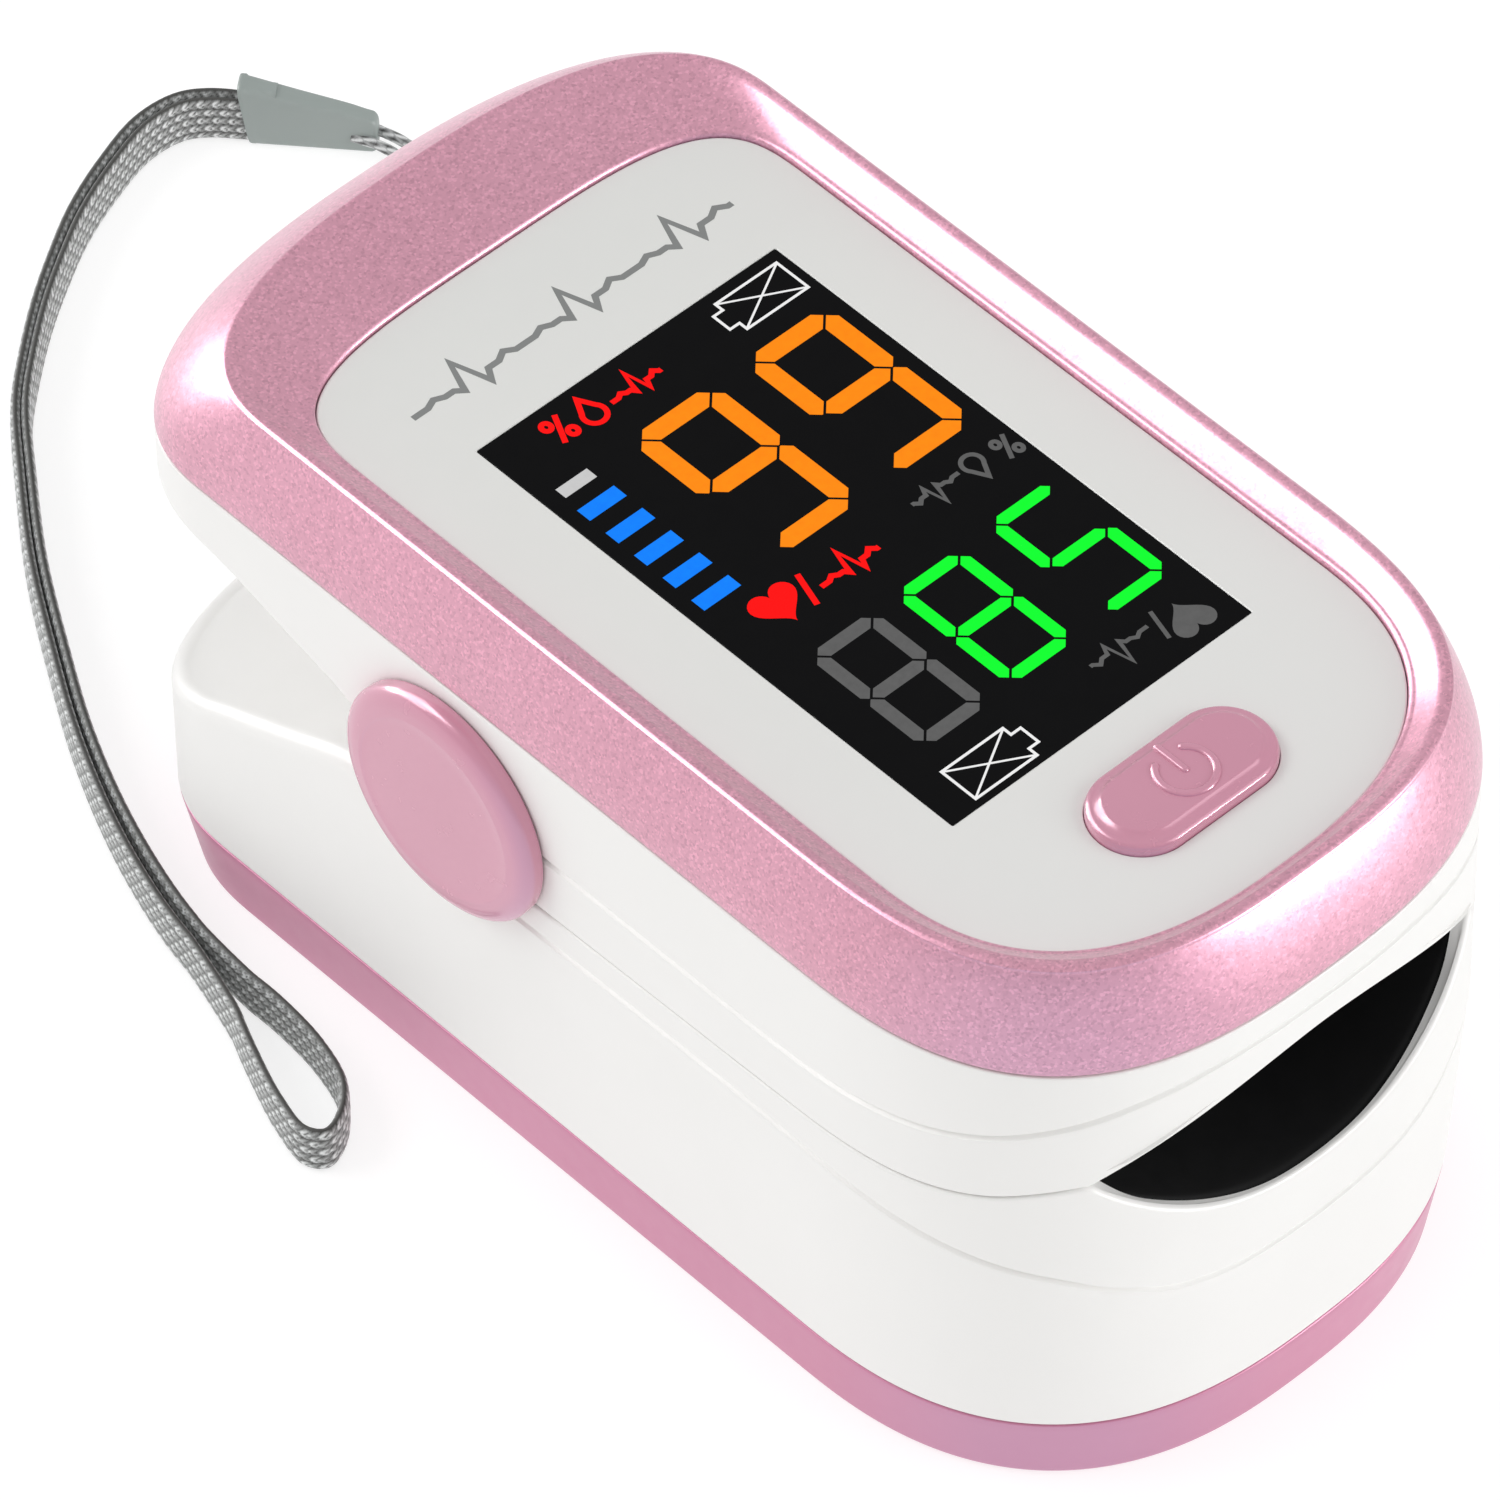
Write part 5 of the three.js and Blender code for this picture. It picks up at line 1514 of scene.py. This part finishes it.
NINE, EIGHT, FIVE = "abcdfg", "abcdefg", "acdfg"
MARKS = {
    "figures_orange": ("orange", seven(-3.36, 1.47, 8.48, -0.72, 0.95, NINE, 0.85) + seven(3.2, 8.06, 8.48, -0.70, 0.95, NINE, 0.85)),
    "figures_green": ("green", seven(-1.35, 2.49, -5.5, -12.5, 0.62, EIGHT, 0.66, 0.12, 0.3) + seven(4.2, 8.05, -5.28, -12.5, 0.62, FIVE, 0.66, 0.12, 0.3)),
    "figures_unlit": ("unlit", seven(-6.33, -2.55, -5.54, -12.6, 0.68, EIGHT, 0.66, 0.12, 0.3)),
    "bars_blue": ("blue", [[(-7.65, t), (-5.56, t), (-5.56, t - 0.8), (-7.65, t - 0.8)] for t in (6.97, 5.22, 3.48, 1.74, 0.0)]),
    "bar_pale": ("pale", [[(-7.5, 8.46), (-5.72, 8.46), (-5.72, 7.82), (-7.5, 7.82)]]),
    "marks_red": ("red", [heart(-5.2, -2.75, 2.4)] + ribbon([(-4.0, -3.75), (-3.45, -1.95)], 0.27) + pulse(-3.2, 0.1, -3.15, 1.05, 0.27)
                  + percent(-5.6, 10.15, 1.5, 0.26) + drop(-3.35, 10.75, 1.6, 0.26) + pulse(-2.4, 0.45, 10.5, 0.95, 0.26)),
    "marks_unlit": ("unlit", turned(percent(2.75, -3.4, 1.3, 0.22) + drop(5.0, -2.85, 1.45, 0.22) + pulse(5.8, 8.5, -3.05, 0.85, 0.22), 5.62, -2.72)
                    + [heart(6.72, -14.75, 2.15, math.pi)] + turned(ribbon([(1.75, -15.1), (2.2, -13.5)], 0.2) + pulse(2.4, 5.7, -14.6, 1.0, 0.2), 3.75, -14.3)),
    "cell_marks": ("whiteline", cell_mark(4.7, 8.27, 9.72, 11.7, -1) + cell_mark(-6.7, -3.2, -16.0, -13.97, 1)),
}
for n, (key, outlines) in MARKS.items():
    o = flat("display_" + n, outlines)
    dress(o, key)
    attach(o, "upper_jaw")
line = flat("panel_pulse_line", pulse(-9.1, 9.3, 15.55, 1.35, 0.31, 3), Z_PANEL - 0.03, Z_PANEL + 0.006)
dress(line, "print")
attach(line, "upper_jaw")

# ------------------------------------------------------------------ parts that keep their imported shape
FINISH = {"base_screw_1": "steel", "base_screw_2": "steel", "base_screw_3": "steel", "base_screw_4": "steel", "sensor_board": "board",
          "photodiode": "diode", "battery_left": "jacket", "battery_right": "jacket", "front_contact_bridge": "steel", "rear_contact_left": "steel",
          "rear_contact_right": "steel", "battery_spring_left": "spring", "battery_spring_right": "spring", "hinge_pin_left": "steel", "hinge_pin_right": "steel",
          "torsion_spring_left": "spring", "torsion_spring_right": "spring", "lanyard_pin": "steel", "display_module": "chip", "main_pcb": "board",
          "pcb_screw_left": "steel", "pcb_screw_right": "steel", "tact_switch": "chip", "led_emitter": "ledbody", "microcontroller": "chip"}
for n, key in FINISH.items():
    NODES[n].data.materials.clear()
    NODES[n].data.materials.append(M[key].m)

# ------------------------------------------------------------------ ribbon between the jaws
def make_ribbon():
    """Flex cable: along the lower jaw, up behind the cavity and into the upper jaw."""
    half, t = 1.5, 0.075
    line = [(-4.8, 13.45), (9.65, 13.45)] + [(9.65 + 1.3 * math.sin(a), 14.75 - 1.3 * math.cos(a)) for a in np.linspace(0.15, math.pi / 2, 10)] + [(10.95, 26.3)]
    line = even(np.array(line, float), 0.25)
    d = np.gradient(line, axis=0)
    d /= np.linalg.norm(d, axis=1)[:, None]
    n = np.column_stack([-d[:, 1], d[:, 0]])
    rows = []
    for p, q in zip(line, n):
        sec = [(-half, -t), (-half, t)] + [(x, t + 0.02 * (abs(math.sin(x * 6.3)) > 0.5)) for x in np.linspace(-1.3, 1.3, 27)] + [(half, t), (half, -t)]
        rows.append([(x, p[0] + u * q[0], p[1] + u * q[1]) for x, u in sec])
    s = Sheet()
    s.grid(np.array(rows), close_v=True)
    m = len(rows[0])
    s.add(rows[0], [tuple(range(m))])
    s.add(rows[-1], [tuple(range(m))[::-1]])
    o = s.object("flex_ribbon", weld=0, angle=40)
    dress(o, "film")
    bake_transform(o)
    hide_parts("flex_cable")


make_ribbon()

# ------------------------------------------------------------------ floor and light
def make_floor():
    s = Sheet()
    n = 41
    g = np.linspace(-2500, 2500, n)
    s.grid(np.array([[(x, y, -0.02) for x in g] for y in g]), flip=True)
    o = s.object("floor", weld=0, recalc=False)
    if o.data.polygons[0].normal.z < 0:
        o.data.flip_normals()
    m = Mat("floor_white", (160, 160, 160), 0.75)
    m.tint(m.noise(30, 2), (158, 158, 158), (162, 162, 162))
    m.rough(m.noise(60, 2), 0.7, 0.8)
    m.set(Specular_IOR_Level=0.1, Emission_Color=(1, 1, 1, 1), Emission_Strength=0.74)
    g = m.nt.nodes.new("ShaderNodeNewGeometry")
    t = m.nt.nodes.new("ShaderNodeBsdfTransparent")
    x = m.nt.nodes.new("ShaderNodeMixShader")
    m.nt.links.new(g.outputs["Backfacing"], x.inputs["Fac"])
    m.nt.links.new(m.b.outputs[0], x.inputs[1])
    m.nt.links.new(t.outputs[0], x.inputs[2])
    m.nt.links.new(x.outputs[0], m.nt.nodes["Material Output"].inputs["Surface"])
    o.data.materials.append(m.m)
    return o


make_floor()


def area(name, az, el, dist, sx, sy, power, target=(0, 0, 14), colour=(1, 1, 1)):
    """Soft box seen from the object at azimuth az (from +Y towards -X) and elevation el."""
    a, e = math.radians(az), math.radians(el)
    d = Vector((-math.sin(a) * math.cos(e), math.cos(a) * math.cos(e), math.sin(e)))
    l = bpy.data.lights.new(name, "AREA")
    l.shape, l.size, l.size_y, l.energy, l.color = "RECTANGLE", sx * MM, sy * MM, power, colour
    o = bpy.data.objects.new(name, l)
    bpy.context.scene.collection.objects.link(o)
    t = Vector(target) * MM
    o.location = t + d * dist * MM
    o.rotation_euler = (-d).to_track_quat("-Z", "Y").to_euler()
    return o


world = bpy.data.worlds.new("studio")
bpy.context.scene.world = world
world.use_nodes = True
world.node_tree.nodes["Background"].inputs["Color"].default_value = (1.0, 1.0, 1.0, 1)
world.node_tree.nodes["Background"].inputs["Strength"].default_value = 0.64
area("soft_rear_left", 45, 45, 620, 320, 260, 0.9)
area("soft_front_right", 212, 28, 620, 420, 380, 1.0)
# panels that only show as highlights
for l in (area("sheen_rear_left", 26, 30, 620, 560, 480, 4.9), area("sheen_front", 209, 4, 620, 170, 200, 4.8), area("sheen_rear_low", 14, 8, 620, 300, 160, 2.2)):
    l.visible_diffuse = False
bpy.context.scene.view_settings.view_transform = "Standard"
